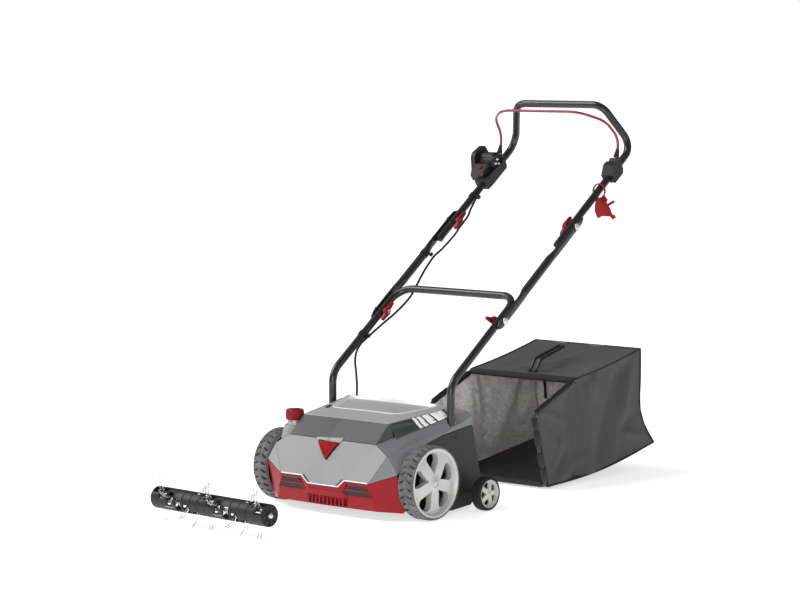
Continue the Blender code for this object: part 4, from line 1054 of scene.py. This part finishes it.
def makeLevers():
    for where, boltY, body in (("lower", handle["lowerBolt"], "chassis"),
                            ("upper", handle["upperBolt"], "handle_top")):
        for sign, word in ((-1, "left"), (1, "right")):
            centre = onHandle(boltY)
            turn = Matrix.Rotation(math.radians(lever["turned"]) if (where, word) == ("lower",
                                    "right") else 0.0, 4, "X")
            outline = [(lever["wing"], 0.0010), (lever["wing"], 0.0082), (0.011, 0.0098),
                       (-0.003, 0.0104), (-0.0105, 0.0030), (-lever["tail"], -0.0010),
                       (-lever["tail"], -0.0082), (-0.011, -0.0098), (0.003, -0.0104),
                       (0.0105, -0.0030)]
            smooth = roundedOutline(outline,
                                    [0.0026, 0.0026, 0.006, 0.004, 0.005, 0.0026, 0.0026, 0.006, 0.004,
                                     0.005], 4)
            bm = bmesh.new()

            def spot(a, b, depth, centre=centre, turn=turn, sign=sign):
                return centre + (turn @ (along * a + above * b)) + Vector((sign * (0.1790 - depth), 0,
                                        0))

            rings = []
            for inset, depth in ((0.0008, 0.0), (0.0, 0.0008), (0.0, 0.0062), (0.0010, 0.0072)):
                rings.append([bm.verts.new(spot(a * (1 - inset / 0.03), b * (1 - inset / 0.011),
                                        depth)) for a, b in smooth])
            joinRings(bm, rings)
            around([(sign * x, r) for x,
                    r in ((0.1722, 0.0), (0.1712, 0.0046), (0.1702, 0.0078), (0.1708, 0.0088),
                          (0.1830, 0.0088), (0.1833, 0.0080), (0.1833, 0.0))],
                   centre.y, centre.z, 32, into=bm)
            rib = roundedOutline([(0.012, 0.0026), (0.028, 0.0030), (0.028, 0.0066), (0.012, 0.0078)],
                                 [0.001] * 4, 3)
            plate(rib, lambda a, b, depth: spot(a, b, 0.0070 + depth), 0.0010, bm)
            name = "clampLever" + where.capitalize() + word.capitalize()
            finishPiece(name, bm, redPlastic, "lever_" + where + "_" + word,
                        ["clamp_lever_" + where + "_" + word], 40)
            nut = bmesh.new()
            around([(sign * x, r) for x,
                    r in ((0.2128, 0.0), (0.2128, 0.0098), (0.2136, 0.0102), (0.2150, 0.0100),
                          (0.2166, 0.0084), (0.2172, 0.0060), (0.2172, 0.0))],
                   centre.y, centre.z, 32, into=nut)
            finishPiece("clampNutCap" + where.capitalize() + word.capitalize(), nut,
                        whitePrint if word == "left" else brightSteel, body, (), 40)
            hexEnd = bmesh.new()  # the bolt's six-sided end, inside the lever's boss
            around([(sign * x, r) for x,
                    r in ((0.1690, 0), (0.1690, 0.0050), (0.1715, 0.0052), (0.1715, 0))], centre.y,
                    centre.z, 6, into=hexEnd)
            finishPiece("boltHead" + where.capitalize() + word.capitalize(), hexEnd, brightSteel, body,
                        (), 30)


makeLevers()

bail = {"y": 0.7965, "z": 0.830, "radius": 0.0036, "bends": [0.050, 0.060, 0.085]}


def makeBail():
    lean = Vector((0.0005, 0.0085, 0.030)).normalized()
    base = Vector((handle["x"], bail["y"], bail["z"]))
    side = [base + lean * 0.0345, Vector((0.1945, 0.811, 0.890)), Vector((0.183, 0.768, 0.936)),
            Vector((0.128, 0.724, 0.960))]
    path = rounded(side + mirrored(reversed(side)), [0, *bail["bends"], *reversed(bail["bends"]), 0],
                   12)
    finishPiece("switchBail", sweep(path, bail["radius"], 16), redWire, "bail",
                ["bail_rod"], 60)
    for sign, word in ((-1, "left"), (1, "right")):
        flip = Vector((sign, 1, 1))
        start, end = (base + lean * 0.0120) * flip, (base + lean * 0.0356) * flip
        bm = aroundLine(start, end,
                        ((0, 0), (0, 0.0074), (0.12, 0.0078), (0.30, 0.0070), (0.34, 0.0064),
                         (0.42, 0.0068), (0.47, 0.0060), (0.55, 0.0063), (0.60, 0.0056),
                                     (0.9, 0.0046), (1, 0.0038), (1, 0)), 24)
        finishPiece("bailSleeve" + word.capitalize(), bm, blackPlastic, "bail",
                    ["bail_sleeve_" + word], 40)


makeBail()

inlet = {"y": 0.777, "z": 0.820, "face": 0.1800, "radius": 0.0208, "hole": 0.0178, "back": 0.2320,
         "pinReach": 0.0078}


def makeSwitchDetail():
    bm = bmesh.new()
    face, radius, hole = inlet["face"], inlet["radius"], inlet["hole"]
    barrel = [(inlet["back"], 0), (inlet["back"], radius), (face + 0.016, radius),
              (face + 0.0155, radius + 0.0007), (face + 0.0015, radius + 0.0007),
              (face, radius - 0.0004),
              (face, hole + 0.0008), (face + 0.0008, hole), (face + 0.0050, hole),
              (face + 0.0050, 0.0042), (face + 0.0035, 0.0036), (face + 0.0035, 0)]
    around([(-x, r) for x, r in barrel], inlet["y"], inlet["z"], 56, into=bm)
    for s, n in ((-0.030, 0.0), (0.036, 0.0), (-0.022, 0.020)):
        spot = onHandle(0.765) + along * s + above * n
        around([(-x, r) for x,
                r in ((0.2128, 0), (0.2128, 0.0034), (0.2140, 0.0034), (0.2144, 0.0028),
                      (0.2138, 0.0018), (0.2138, 0))] if n < 0.01 else
               [(-x, r) for x,
                r in ((0.2325, 0), (0.2325, 0.0034), (0.2336, 0.0034), (0.2340, 0.0028),
                      (0.2334, 0.0018), (0.2334, 0))],
               spot.y, spot.z, 18, into=bm)
    finishPiece("switchBoxTrim", bm, blackPlastic, "handle_top", (), 40)
    pins = bmesh.new()
    for angle in (90, 210, 330):
        toward = math.radians(angle)
        y = inlet["y"] + inlet["pinReach"] * math.cos(toward)
        z = inlet["z"] + inlet["pinReach"] * math.sin(toward)
        around([(-x, r) for x,
                r in ((face + 0.006, 0), (face + 0.006, 0.0027), (face + 0.0012, 0.0027),
                      (face + 0.0003, 0.0021), (face + 0.0002, 0))], y, z, 16, into=pins)
    finishPiece("inletPins", pins, whitePrint, "handle_top", ["mains_inlet"], 40)


makeSwitchDetail()
print("handle made")

cableRadius = 0.0030
cableLower = [(-0.163, 0.190, 0.2470), (-0.1630, 0.1905, 0.275), (-0.1650, 0.1900, 0.305),
              (-0.1690, 0.1905, 0.335), (-0.1730, 0.200, 0.358),
              (-0.1760, 0.222, 0.378), (-0.1760, 0.262, 0.400), (-0.1700, 0.300, 0.424),
              (-0.1620, 0.330, 0.444), (-0.1560, 0.3600, 0.466),
              (-0.1580, 0.3900, 0.4850), (-0.1640, 0.4150, 0.5020), (-0.1700, 0.4350, 0.5180),
              (-0.1770, 0.4650, 0.5430), (-0.1820, 0.4850, 0.5570)]
cableUpper = [(-0.1820, 0.4850, 0.5570), (-0.1860, 0.5200, 0.5825), (-0.1760, 0.5420, 0.6020),
              (-0.1640, 0.5750, 0.6350), (-0.1640, 0.5950, 0.6530),
              (-0.1640, 0.6150, 0.6690), (-0.1640, 0.6320, 0.6840), (-0.1700, 0.6500, 0.7000),
              (-0.1780, 0.6850, 0.7300), (-0.1803, 0.7110, 0.7520),
              (-0.1803, 0.7236, 0.7615)]


def makeCable():
    for name, route, first, second, hinge, stands in (
            ("cableToMiddle", cableLower, "chassis", "handle_middle", handle["lowerBolt"],
             ["cable_lower", "cable_middle"]),
            ("cableToTop", cableUpper, "handle_middle", "handle_top", handle["upperBolt"],
             ["cable_upper"])):
        piece = finishPiece(name, sweep(curved(route, 8), cableRadius, 12), blackPlastic, first,
                            stands, 60)
        world = piece.matrix_world.copy()
        piece.parent = None
        piece.matrix_world = world
        before = toFrame @ (onHandle(hinge) - along * 0.085)
        after = toFrame @ (onHandle(hinge) + along * 0.085)
        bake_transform(piece)


makeCable()


clips = (("cableClipLow", 0.248, -0.1765, "chassis"),
         ("cableClipMiddle", 0.503, -0.1852, "handle_middle"),
         ("cableClipTop", 0.690, -0.1782, "handle_top"))  # name, y on the handle, x of the cable, body


def makeClips():  # moulded clips that hold the cable to the tubes
    for name, y, x, body in clips:
        tubeX = -0.204 if body == "handle_middle" else -handle["x"]
        centre = onHandle(y, tubeX)
        cableAt = Vector((x, centre.y + 0.004, centre.z - 0.002))
        bm = bmesh.new()
        ring = [centre + Vector((math.cos(t), 0, 0)) * (handle["radius"] + 0.0010)
                + above * (math.sin(t) * (handle["radius"] + 0.0010))
                for t in [math.tau * i / 24 for i in range(24)]]
        strip = []
        for offset, grow in ((-0.006, 0.0), (-0.006, 0.0012), (0.006, 0.0012), (0.006, 0.0)):
            strip.append([bm.verts.new(p + along * offset + (p - centre).normalized() * grow)
                          for p in ring])
        joinRings(bm, strip, closed=True)
        loop = [cableAt + Vector((math.cos(t), 0, 0)) * (cableRadius + 0.0003)
                + above * (math.sin(t) * (cableRadius + 0.0003))
                for t in [math.tau * i / 16 for i in range(16)]]
        strip = []
        for offset, grow in ((-0.004, 0.0), (-0.004, 0.0012), (0.004, 0.0012), (0.004, 0.0)):
            strip.append([bm.verts.new(p + along * offset + (p - cableAt).normalized() * grow)
                          for p in loop])
        joinRings(bm, strip, closed=True)
        finishPiece(name, bm, blackPlastic, body, (), 40)


makeClips()
print("cable made")

bag = {"halfWidth": 0.1745, "clothThick": 0.0010, "columns": 60, "rows": 44, "sag": 0.010,
       "middle": (0, 0.75, 0.16)}
foldStrength, hemDrop = 1.5, 0.014
# (y, z) down the frame
bagFront = [(0.6600, 0.2745), (0.5800, 0.2360), (0.5000, 0.1985), (0.5090, 0.1550), (0.5200, 0.1070),
            (0.5345, 0.0600), (0.5500, 0.0090)]
bagRear = [(0.9390, 0.3300), (0.9400, 0.2900), (0.9395, 0.2450), (0.9370, 0.2050), (0.9390, 0.1700),
           (0.9560, 0.1300), (0.9770, 0.1030), (1.0030, 0.0740)]


def alongLine(points, share):  # a point that share of the way along a line of points
    lengths = [math.dist(a, b) for a, b in zip(points, points[1:])]
    left = share * sum(lengths)
    for (a, b), length in zip(zip(points, points[1:]), lengths):
        if left <= length:
            return tuple(p + (q - p) * left / length for p, q in zip(a, b))
        left -= length
    return points[-1]


folds = [  # creases of the side cloth: (y, z) of the two ends, half width, depth
    ((0.668, 0.262), (0.690, 0.170), 0.012, -0.0050), ((0.700, 0.268), (0.742, 0.195), 0.010, -0.0040),
    ((0.738, 0.276), (0.760, 0.225), 0.008, 0.0030),
    ((0.780, 0.286), (0.800, 0.240), 0.010, -0.0030), ((0.870, 0.290), (0.765, 0.090), 0.026, -0.0085),
    ((0.905, 0.300), (0.860, 0.150), 0.022, 0.0060),
    ((0.640, 0.230), (0.660, 0.030), 0.022, -0.0060), ((0.500, 0.195), (0.580, 0.110), 0.010, 0.0050),
    ((0.505, 0.180), (0.560, 0.060), 0.008, -0.0050),
    ((0.520, 0.205), (0.620, 0.165), 0.010, 0.0040), ((0.555, 0.025), (0.620, 0.085), 0.009, -0.0050),
    ((0.560, 0.020), (0.600, 0.120), 0.008, 0.0040),
    ((0.600, 0.030), (0.690, 0.070), 0.012, 0.0035), ((0.940, 0.170), (0.860, 0.130), 0.016, -0.0055),
    ((0.975, 0.095), (0.880, 0.110), 0.012, 0.0045),
    ((0.720, 0.240), (0.725, 0.060), 0.030, 0.0060),
]


def foldDepth(y, z):
    depth = 0.0
    for (y0, z0), (y1, z1), width, amount in folds:
        wide, high = y1 - y0, z1 - z0
        length = math.hypot(wide, high)
        share = ((y - y0) * wide + (z - z0) * high) / length ** 2
        off = ((y - y0) * high - (z - z0) * wide) / length
        past = max(0.0, -share, share - 1) * length
        depth += amount * math.exp(-(off / width) ** 2 - (past / (width * 1.6)) ** 2) * (1
                                - 0.35 * min(1.0, max(0.0, share)))
    return depth


def clothGrid(name, place, columns, rows, stands=()):
    bm = bmesh.new()
    verts = [[bm.verts.new(place(i / columns, j / rows)) for i in range(columns + 1)]
             for j in range(rows + 1)]
    for j in range(rows):
        for i in range(columns):
            bm.faces.new([verts[j][i], verts[j][i + 1], verts[j + 1][i + 1], verts[j + 1][i]])
    bm.normal_update()
    if sum((f.calc_center_median() - Vector(bag["middle"])).dot(f.normal) for f in bm.faces) < 0:
        bmesh.ops.reverse_faces(bm, faces=bm.faces)
    mesh = bpy.data.meshes.new(name)
    bm.to_mesh(mesh)
    bm.free()
    mesh.transform(toFrame)
    mesh.shade_smooth()
    for each in (cloth, lining):
        mesh.materials.append(each)
    piece = bpy.data.objects.new(name, mesh)
    bpy.context.scene.collection.objects.link(piece)
    thick = piece.modifiers.new("clothThickness", "SOLIDIFY")
    thick.thickness = bag["clothThick"]
    thick.offset = -1
    thick.material_offset = 1
    thick.use_rim = True
    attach(piece, "bag")
    if stands:
        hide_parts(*stands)


def ripple(y, z, seed):
    return noise.noise(Vector((y * 16, z * 9, seed))) * 0.0022 + noise.noise(Vector((y * 45, z * 30,
                            seed + 4))) * 0.0007


def makeBagSide(sign, word):
    def place(u, v):
        front, rear = alongLine(bagFront, v), alongLine(bagRear, v)
        y = front[0] + (rear[0] - front[0]) * u
        z = front[1] + (rear[1] - front[1]) * u
        z -= hemDrop * math.sin(math.pi * u) * v ** 3  # the hem hangs in a curve
        z -= 0.004 * math.sin(math.pi * u) * (1 - v) ** 4
        edge = min(1.0, 7 * min(u, 1 - u)) * min(1.0, 6 * min(v, 1.12 - v))
        out = (foldDepth(y, z) * foldStrength + ripple(y, z, 3.0 + sign)) * max(0.0,
                                edge) - 0.004 * math.sin(math.pi * u) * math.sin(math.pi * v)
        return Vector((sign * (bag["halfWidth"] + out), y, z))

    clothGrid("bagSide" + word, lambda u, v: place(1 - u, v), bag["columns"], bag["rows"])


def makeBagTop():
    def place(u, v):
        x = (2 * u - 1) * bag["halfWidth"]
        y, z = 0.6600 + (0.9390 - 0.6600) * v, 0.2745 + (0.3300 - 0.2745) * v
        middle = math.sin(math.pi * u) * math.sin(math.pi * v)
        z -= bag["sag"] * middle + 0.004 * math.sin(math.pi * v)
        z += ripple(x, y, 9.0) * 1.4 * min(1.0, 8 * min(u, 1 - u, v, 1 - v))
        z += 0.0030 * math.exp(-((x + 0.10 - (y - 0.66) * 0.55) / 0.014) ** 2) * middle
        return Vector((x, y, z))

    clothGrid("bagTop", place, 48, 40, ["bag_shell"])


def makeBagBack():
    def place(u, v):
        x = (1 - 2 * u) * bag["halfWidth"]
        y, z = alongLine(bagRear, v)
        middle = math.sin(math.pi * u) * math.sin(math.pi * min(1.0, v * 1.25))
        y += (0.012 * middle + ripple(x, z, 14.0) * 1.5) * (1 - v ** 6)
        y -= 0.004 * math.sin(math.pi * u) * v
        return Vector((x, min(y, 1.0080), z - 0.006 * math.sin(math.pi * u) * v ** 2))

    clothGrid("bagBack", place, 48, 40)


bagFrameLine = rounded([(0.171, 0.5410, 0.0105), (0.171, 0.5110, 0.1070), (0.171, 0.4880, 0.1990),
                        (0.171, 0.6580, 0.2710),
                        (-0.171, 0.6580, 0.2710), (-0.171, 0.4880, 0.1990), (-0.171, 0.5110, 0.1070),
                        (-0.171, 0.5410, 0.0105)],
                       [0.012, 0.03, 0.014, 0.012, 0.012, 0.014, 0.03, 0.012], 8, closed=True)


def makeBagFrame():
    finishPiece("bagFrameTube", sweep(bagFrameLine, 0.0048, 16, closed=True), tubePaint, "bag",
                ["bag_frame"], 60)
    sleeves = bmesh.new()
    knee, elbow, top, foot = Vector((0.171, 0.5110, 0.1070)), Vector((0.171, 0.4880,
                            0.1990)), Vector((0.171, 0.6580, 0.2710)), Vector((0.171, 0.5410, 0.0105))
    runs = [(elbow.lerp(knee, 0.10), elbow.lerp(knee, 0.42)),
            (elbow.lerp(knee, 0.46), elbow.lerp(knee, 0.90)),
            (knee.lerp(foot, 0.08), knee.lerp(foot, 0.44)),
            (knee.lerp(foot, 0.50), knee.lerp(foot, 0.86)),
            (elbow.lerp(top, 0.06), elbow.lerp(top, 0.42)),
            (elbow.lerp(top, 0.47), elbow.lerp(top, 0.93))]
    for start, end in runs:
        for sign in (-1, 1):
            flip = Vector((sign, 1, 1))
            aroundLine(start * flip, end * flip,
                       ((0, 0.0049), (0, 0.0066), (0.04, 0.0075), (0.5, 0.0078), (0.96, 0.0075),
                        (1, 0.0066), (1, 0.0049)), 20, sleeves)
    finishPiece("bagFrameSleeves", sleeves, blackPlastic, "bag", (), 40)
    hem = bmesh.new()
    aroundLine(Vector((-0.173, 0.658, 0.2700)), Vector((0.173, 0.658, 0.2700)),
               ((0, 0.0049), (0, 0.0078), (0.01, 0.0084), (0.25, 0.0088), (0.5, 0.0085), (0.75, 0.0088),
                                                                               (0.99, 0.0084),
                                                                               (1, 0.0078), (1,
                                                                                           0.0049)), 24,
                                                                                           hem)
    aroundLine(Vector((-0.158, 0.541, 0.0120)), Vector((0.158, 0.541, 0.0120)),
               ((0, 0.0049), (0, 0.0062), (0.01, 0.0070), (0.99, 0.0070), (1, 0.0062), (1, 0.0049)), 24,
               hem)
    strap = [Vector((-0.1500, 0.9330, 0.2600)), Vector((-0.1420, 0.9345, 0.2150)),
             Vector((-0.1370, 0.9330, 0.1720))]
    sweep(curved(strap, 6), 0.0045, 10, into=hem, flat=0.2)
    finishPiece("bagFrontHem", hem, tape, "bag", (), 50)


def makeSeams():  # binding tape down the bag's edges
    bm = bmesh.new()
    for sign in (-1, 1):
        x = sign * (bag["halfWidth"] + 0.0004)
        top = [Vector((x, 0.6600 + 0.2790 * k / 20,
                       0.2745 + 0.0555 * k / 20 - 0.004 * math.sin(math.pi * k / 20) + 0.0008))
                       for k in range(21)]
        rear = [Vector((x, *alongLine(bagRear, k / 24))) + Vector((0, 0.0008, 0)) for k in range(25)]
        hem = []
        for k in range(25):
            front, back = bagFront[-1], bagRear[-1]
            u = k / 24
            hem.append(Vector((x, front[0] + (back[0] - front[0]) * u,
                               front[1] + (back[1] - front[1]) * u - hemDrop * math.sin(math.pi * u))))
        for line in (top, rear, hem):
            sweep(line, 0.0021, 10, into=bm)
    back = [Vector(((2 * k / 20 - 1) * bag["halfWidth"], 0.9398, 0.3306 - 0.0005)) for k in range(21)]
    low = [Vector(((2 * k / 20 - 1) * bag["halfWidth"],
                   bagRear[-1][0] - 0.004 * math.sin(math.pi * k / 20),
                   bagRear[-1][1] - 0.006 * math.sin(math.pi * k / 20))) for k in range(21)]
    for line in (back, low):
        sweep(line, 0.0021, 10, into=bm)
    finishPiece("bagSeamTape", bm, tape, "bag", (), 60)


def makeBagHandle():
    half = [Vector((0.0095, 0.7020, 0.2795)), Vector((0.0095, 0.7240, 0.3090)),
            Vector((0.0095, 0.8290, 0.3360))]
    path = rounded(half + mirrored(reversed(half)), [0, 0.012, 0.0094, 0.0094, 0.012, 0], 8)
    bm = sweep(path, 0.0040, 16)
    for sign in (-1, 1):
        foot = Vector((sign * 0.0095, 0.7000, 0.2768))
        aroundLine(foot, foot + Vector((0, 0.0045, 0.0060)),
                   ((0, 0), (0, 0.0062), (0.5, 0.0060), (1, 0.0046), (1, 0)), 20, bm)
    finishPiece("bagHandle", bm, tubePaint, "bag", ["bag_handle"], 50)


makeBagFrame()
makeBagTop()
makeBagSide(1, "Right")
makeBagSide(-1, "Left")
makeBagBack()
makeSeams()
makeBagHandle()
print("bag made")

spare = {"x": -0.036, "y": -0.4555, "z": 0.0605, "yaw": math.radians(-3.4), "half": 0.194,
         "segments": 14, "drum": 0.0266,
         "wire": 0.0009, "tipOut": 0.0576}


def makeSpare():
    place = Matrix.Translation((spare["x"], spare["y"], spare["z"])) @ Matrix.Rotation(spare["yaw"], 4,
                            "Z")
    pitch, half = 2 * spare["half"] / spare["segments"], spare["half"]
    bm = bmesh.new()
    columns, gapShare = 48, 0.21
    for i in range(spare["segments"]):
        x0 = -half + i * pitch + 0.0002
        x1 = x0 + pitch - 0.0004
        turn = math.radians(15 + 30 * i) + math.pi / 2
        wallIn, wallOut = spare["drum"] - 0.0035, spare["drum"]
        levels = [x0, x0 + 0.0010, x0 + pitch * 0.12, x1 - pitch * 0.12, x1 - 0.0010, x1]
        outer, inner = [], []
        for k, x in enumerate(levels):
            ease = 0.0007 if k in (0, 5) else 0.0
            for ring, radius in ((outer, wallOut - ease), (inner, wallIn)):
                ring.append([bm.verts.new(place @ Vector((x,
                                        radius * math.cos(turn + math.tau * c / columns),
                                        radius * math.sin(turn + math.tau * c / columns))))
                             for c in range(columns)])

        def isWindow(k, c):
            return k == 2 and min((c + 0.5) % (columns / 2),
                                  columns / 2 - (c
                                              + 0.5) % (columns / 2)) < columns * gapShare / 2 + 0.1

        for k in range(5):
            for c in range(columns):
                d = (c + 1) % columns
                if isWindow(k, c):
                    bm.faces.new([outer[k][c], outer[k][d], inner[k][d], inner[k][c]])
                    bm.faces.new([outer[k + 1][c], outer[k + 1][d], inner[k + 1][d], inner[k + 1][c]])
                    continue
                bm.faces.new([outer[k][c], outer[k][d], outer[k + 1][d], outer[k + 1][c]])
                bm.faces.new([inner[k][c], inner[k][d], inner[k + 1][d], inner[k + 1][c]])
                for near, column in ((d, d), ((c - 1) % columns, c)):
                    if isWindow(k, near):
                        bm.faces.new([outer[k][column], outer[k + 1][column], inner[k + 1][column],
                                    inner[k][column]])
        joinRings(bm, [outer[0], inner[0]], capped=False)
        joinRings(bm, [outer[5], inner[5]], capped=False)
    finishPiece("spareDrum", bm, blackPlastic, "spare_roller", ["spare_drum"], 35)

    ends = bmesh.new()
    for sign in (-1, 1):
        ring = [(half - 0.004, 0.009), (half - 0.004, 0.0232), (half + 0.0002, 0.0250),
                (half + 0.0006, 0.0240), (half - 0.0010, 0.0225), (half - 0.0010, 0.011),
                (half + 0.0012, 0.0105), (half + 0.0012, 0.0088)]
        rings = []
        for x, radius in ring:
            rings.append([ends.verts.new(place @ Vector((sign * x, radius * math.cos(math.tau * c / 40),
                                    radius * math.sin(math.tau * c / 40)))) for c in range(40)])
        joinRings(ends, rings, closed=True)
        for k in range(8):
            turn = math.tau * k / 8
            outward, sideways = Vector((0, math.cos(turn), math.sin(turn))), Vector((0, -math.sin(turn),
                                    math.cos(turn)))
            plate([(0.0100, -0.0009), (0.0235, -0.0009), (0.0235, 0.0009), (0.0100, 0.0009)],
                  lambda a, b, depth: place @ (outward * a + sideways * b
                                          + Vector((sign * (half - 0.0015 + depth), 0, 0))), 0.0022,
                                          ends)
    finishPiece("spareDrumEnds", ends, blackPlastic, "spare_roller", (), 35)

    rack = bmesh.new()
    sixSided = [Vector((0, 0.0070 * math.cos(math.tau * k / 6), 0.0070 * math.sin(math.tau * k / 6)))
                for k in range(6)]
    rings = [[rack.verts.new(place @ (p * grow + Vector((x, 0, 0)))) for p in sixSided]
             for x, grow in ((-half - 0.005, 0.85), (-half - 0.004, 1), (half + 0.004, 1),
                             (half + 0.005, 0.85))]
    joinRings(rack, rings)
    rng = random.Random(5)
    for i in range(spare["segments"]):
        middle = Matrix.Translation((-half + (i + 0.5) * pitch, 0, 0))
        for flip in (0, math.pi):
            turn = place @ middle @ Matrix.Rotation(math.radians(15 + 30 * i) + flip, 4, "X")
            for sign in (-1, 1):
                coil = [Vector((sign * (0.0012 + 0.0024 * k / 18), 0.0045 * math.cos(math.tau * k / 9),
                                0.0165 + 0.0045 * math.sin(math.tau * k / 9))) for k in range(19)]
                lean = rng.uniform(-0.0012, 0.0012)
                leg = [coil[-1], Vector((sign * 0.0042, 0.0035, 0.0240)),
                       Vector((sign * 0.0046 + lean * 0.4, 0.0015, 0.0340)),
                       Vector((sign * 0.0048 + lean, 0.0036, 0.0460)),
                       Vector((sign * 0.0050 + lean * 1.5, 0.0105, spare["tipOut"]))]
                route = coil[:-1] + curved(leg, 4)
                sweep([turn @ p for p in route], spare["wire"], 6, into=rack)
            plate([(-0.0075, -0.0008), (0.0075, -0.0008), (0.0075, 0.0008), (-0.0075, 0.0008)],
                  lambda a, b, depth: turn @ Vector((a, b + 0.0005, 0.0085 + depth)), 0.0045, rack)
    finishPiece("spareTineRack", rack, tineSteel, "spare_roller", ["spare_tines"], 50)


makeSpare()
print("spare roller made")

studio = {"lens": 126.0, "position": (4.5265, -5.0550, 1.1328), "pitch": 84.79, "azimuth": 40.91,
          "worldLight": 0.27, "floorGlow": 0.62, "keySun": 1.95, "keyFrom": (-0.50, -0.45, 0.74),
          "keySpread": 38,
          "lamps": (("leftStrip", (-2.4, -1.0, 1.6), (0.5, 2.2), 16),
                    ("rightStrip", (3.2, 0.6, 1.8), (0.4, 2.2), 10),
                    ("frontFill", (1.7, -3.2, 0.9), (1.2, 1.2), 34))}  # name, place, size, power


def makeStudio():
    eye = bpy.data.cameras.new("studioCamera")
    eye.lens, eye.sensor_width, eye.clip_end = studio["lens"], 36.0, 100.0
    camera = bpy.data.objects.new("studioCamera", eye)
    camera.location = toFrame @ Vector(studio["position"])
    camera.rotation_euler = (math.radians(studio["pitch"]), 0, math.radians(studio["azimuth"]))
    bpy.context.scene.collection.objects.link(camera)
    bpy.context.scene.camera = camera

    mesh = bpy.data.meshes.new("studioFloor")
    mesh.from_pydata([(-40, -40, 0), (40, -40, 0), (40, 40, 0), (-40, 40, 0)], [], [(0, 1, 2, 3)])
    floor = bpy.data.objects.new("studioFloor", mesh)
    bpy.context.scene.collection.objects.link(floor)
    paper = Finish("studioPaper",
                   {"Roughness": 0.9, "Emission Color": (1, 1, 1, 1),
                    "Emission Strength": studio["floorGlow"]})
    paper.feed("Base Color", paper.mix(paper.noise(3, 2), (0.93, 0.93, 0.93), (0.95, 0.95, 0.95)))
    mesh.materials.append(paper.material)

    world = bpy.data.worlds.new("studioWorld")
    bpy.context.scene.world = world
    world.use_nodes = True
    sky = world.node_tree.nodes["Background"]
    sky.inputs["Color"].default_value = (1, 1, 1, 1)
    path = world.node_tree.nodes.new("ShaderNodeLightPath")
    brightness = world.node_tree.nodes.new("ShaderNodeMix")
    brightness.inputs[2].default_value, brightness.inputs[3].default_value = studio["worldLight"], 1.0
    world.node_tree.links.new(path.outputs["Is Camera Ray"], brightness.inputs[0])
    world.node_tree.links.new(brightness.outputs[0], sky.inputs["Strength"])

    sun = bpy.data.lights.new("keySun", "SUN")
    sun.energy, sun.angle = studio["keySun"], math.radians(studio["keySpread"])
    light = bpy.data.objects.new("keySun", sun)
    light.rotation_euler = Vector(studio["keyFrom"]).to_track_quat("Z", "Y").to_euler()
    bpy.context.scene.collection.objects.link(light)
    for name, place, size, power in studio["lamps"]:
        lamp = bpy.data.lights.new(name, "AREA")
        lamp.shape, lamp.size, lamp.size_y, lamp.energy = "RECTANGLE", *size, power
        light = bpy.data.objects.new(name, lamp)
        light.location = place
        light.rotation_euler = (Vector((0, 0.1, 0.4)) - Vector(place)).to_track_quat("-Z",
                                "Z").to_euler()
        bpy.context.scene.collection.objects.link(light)
    bpy.context.scene.view_settings.view_transform = "Standard"


makeStudio()
print("studio made")
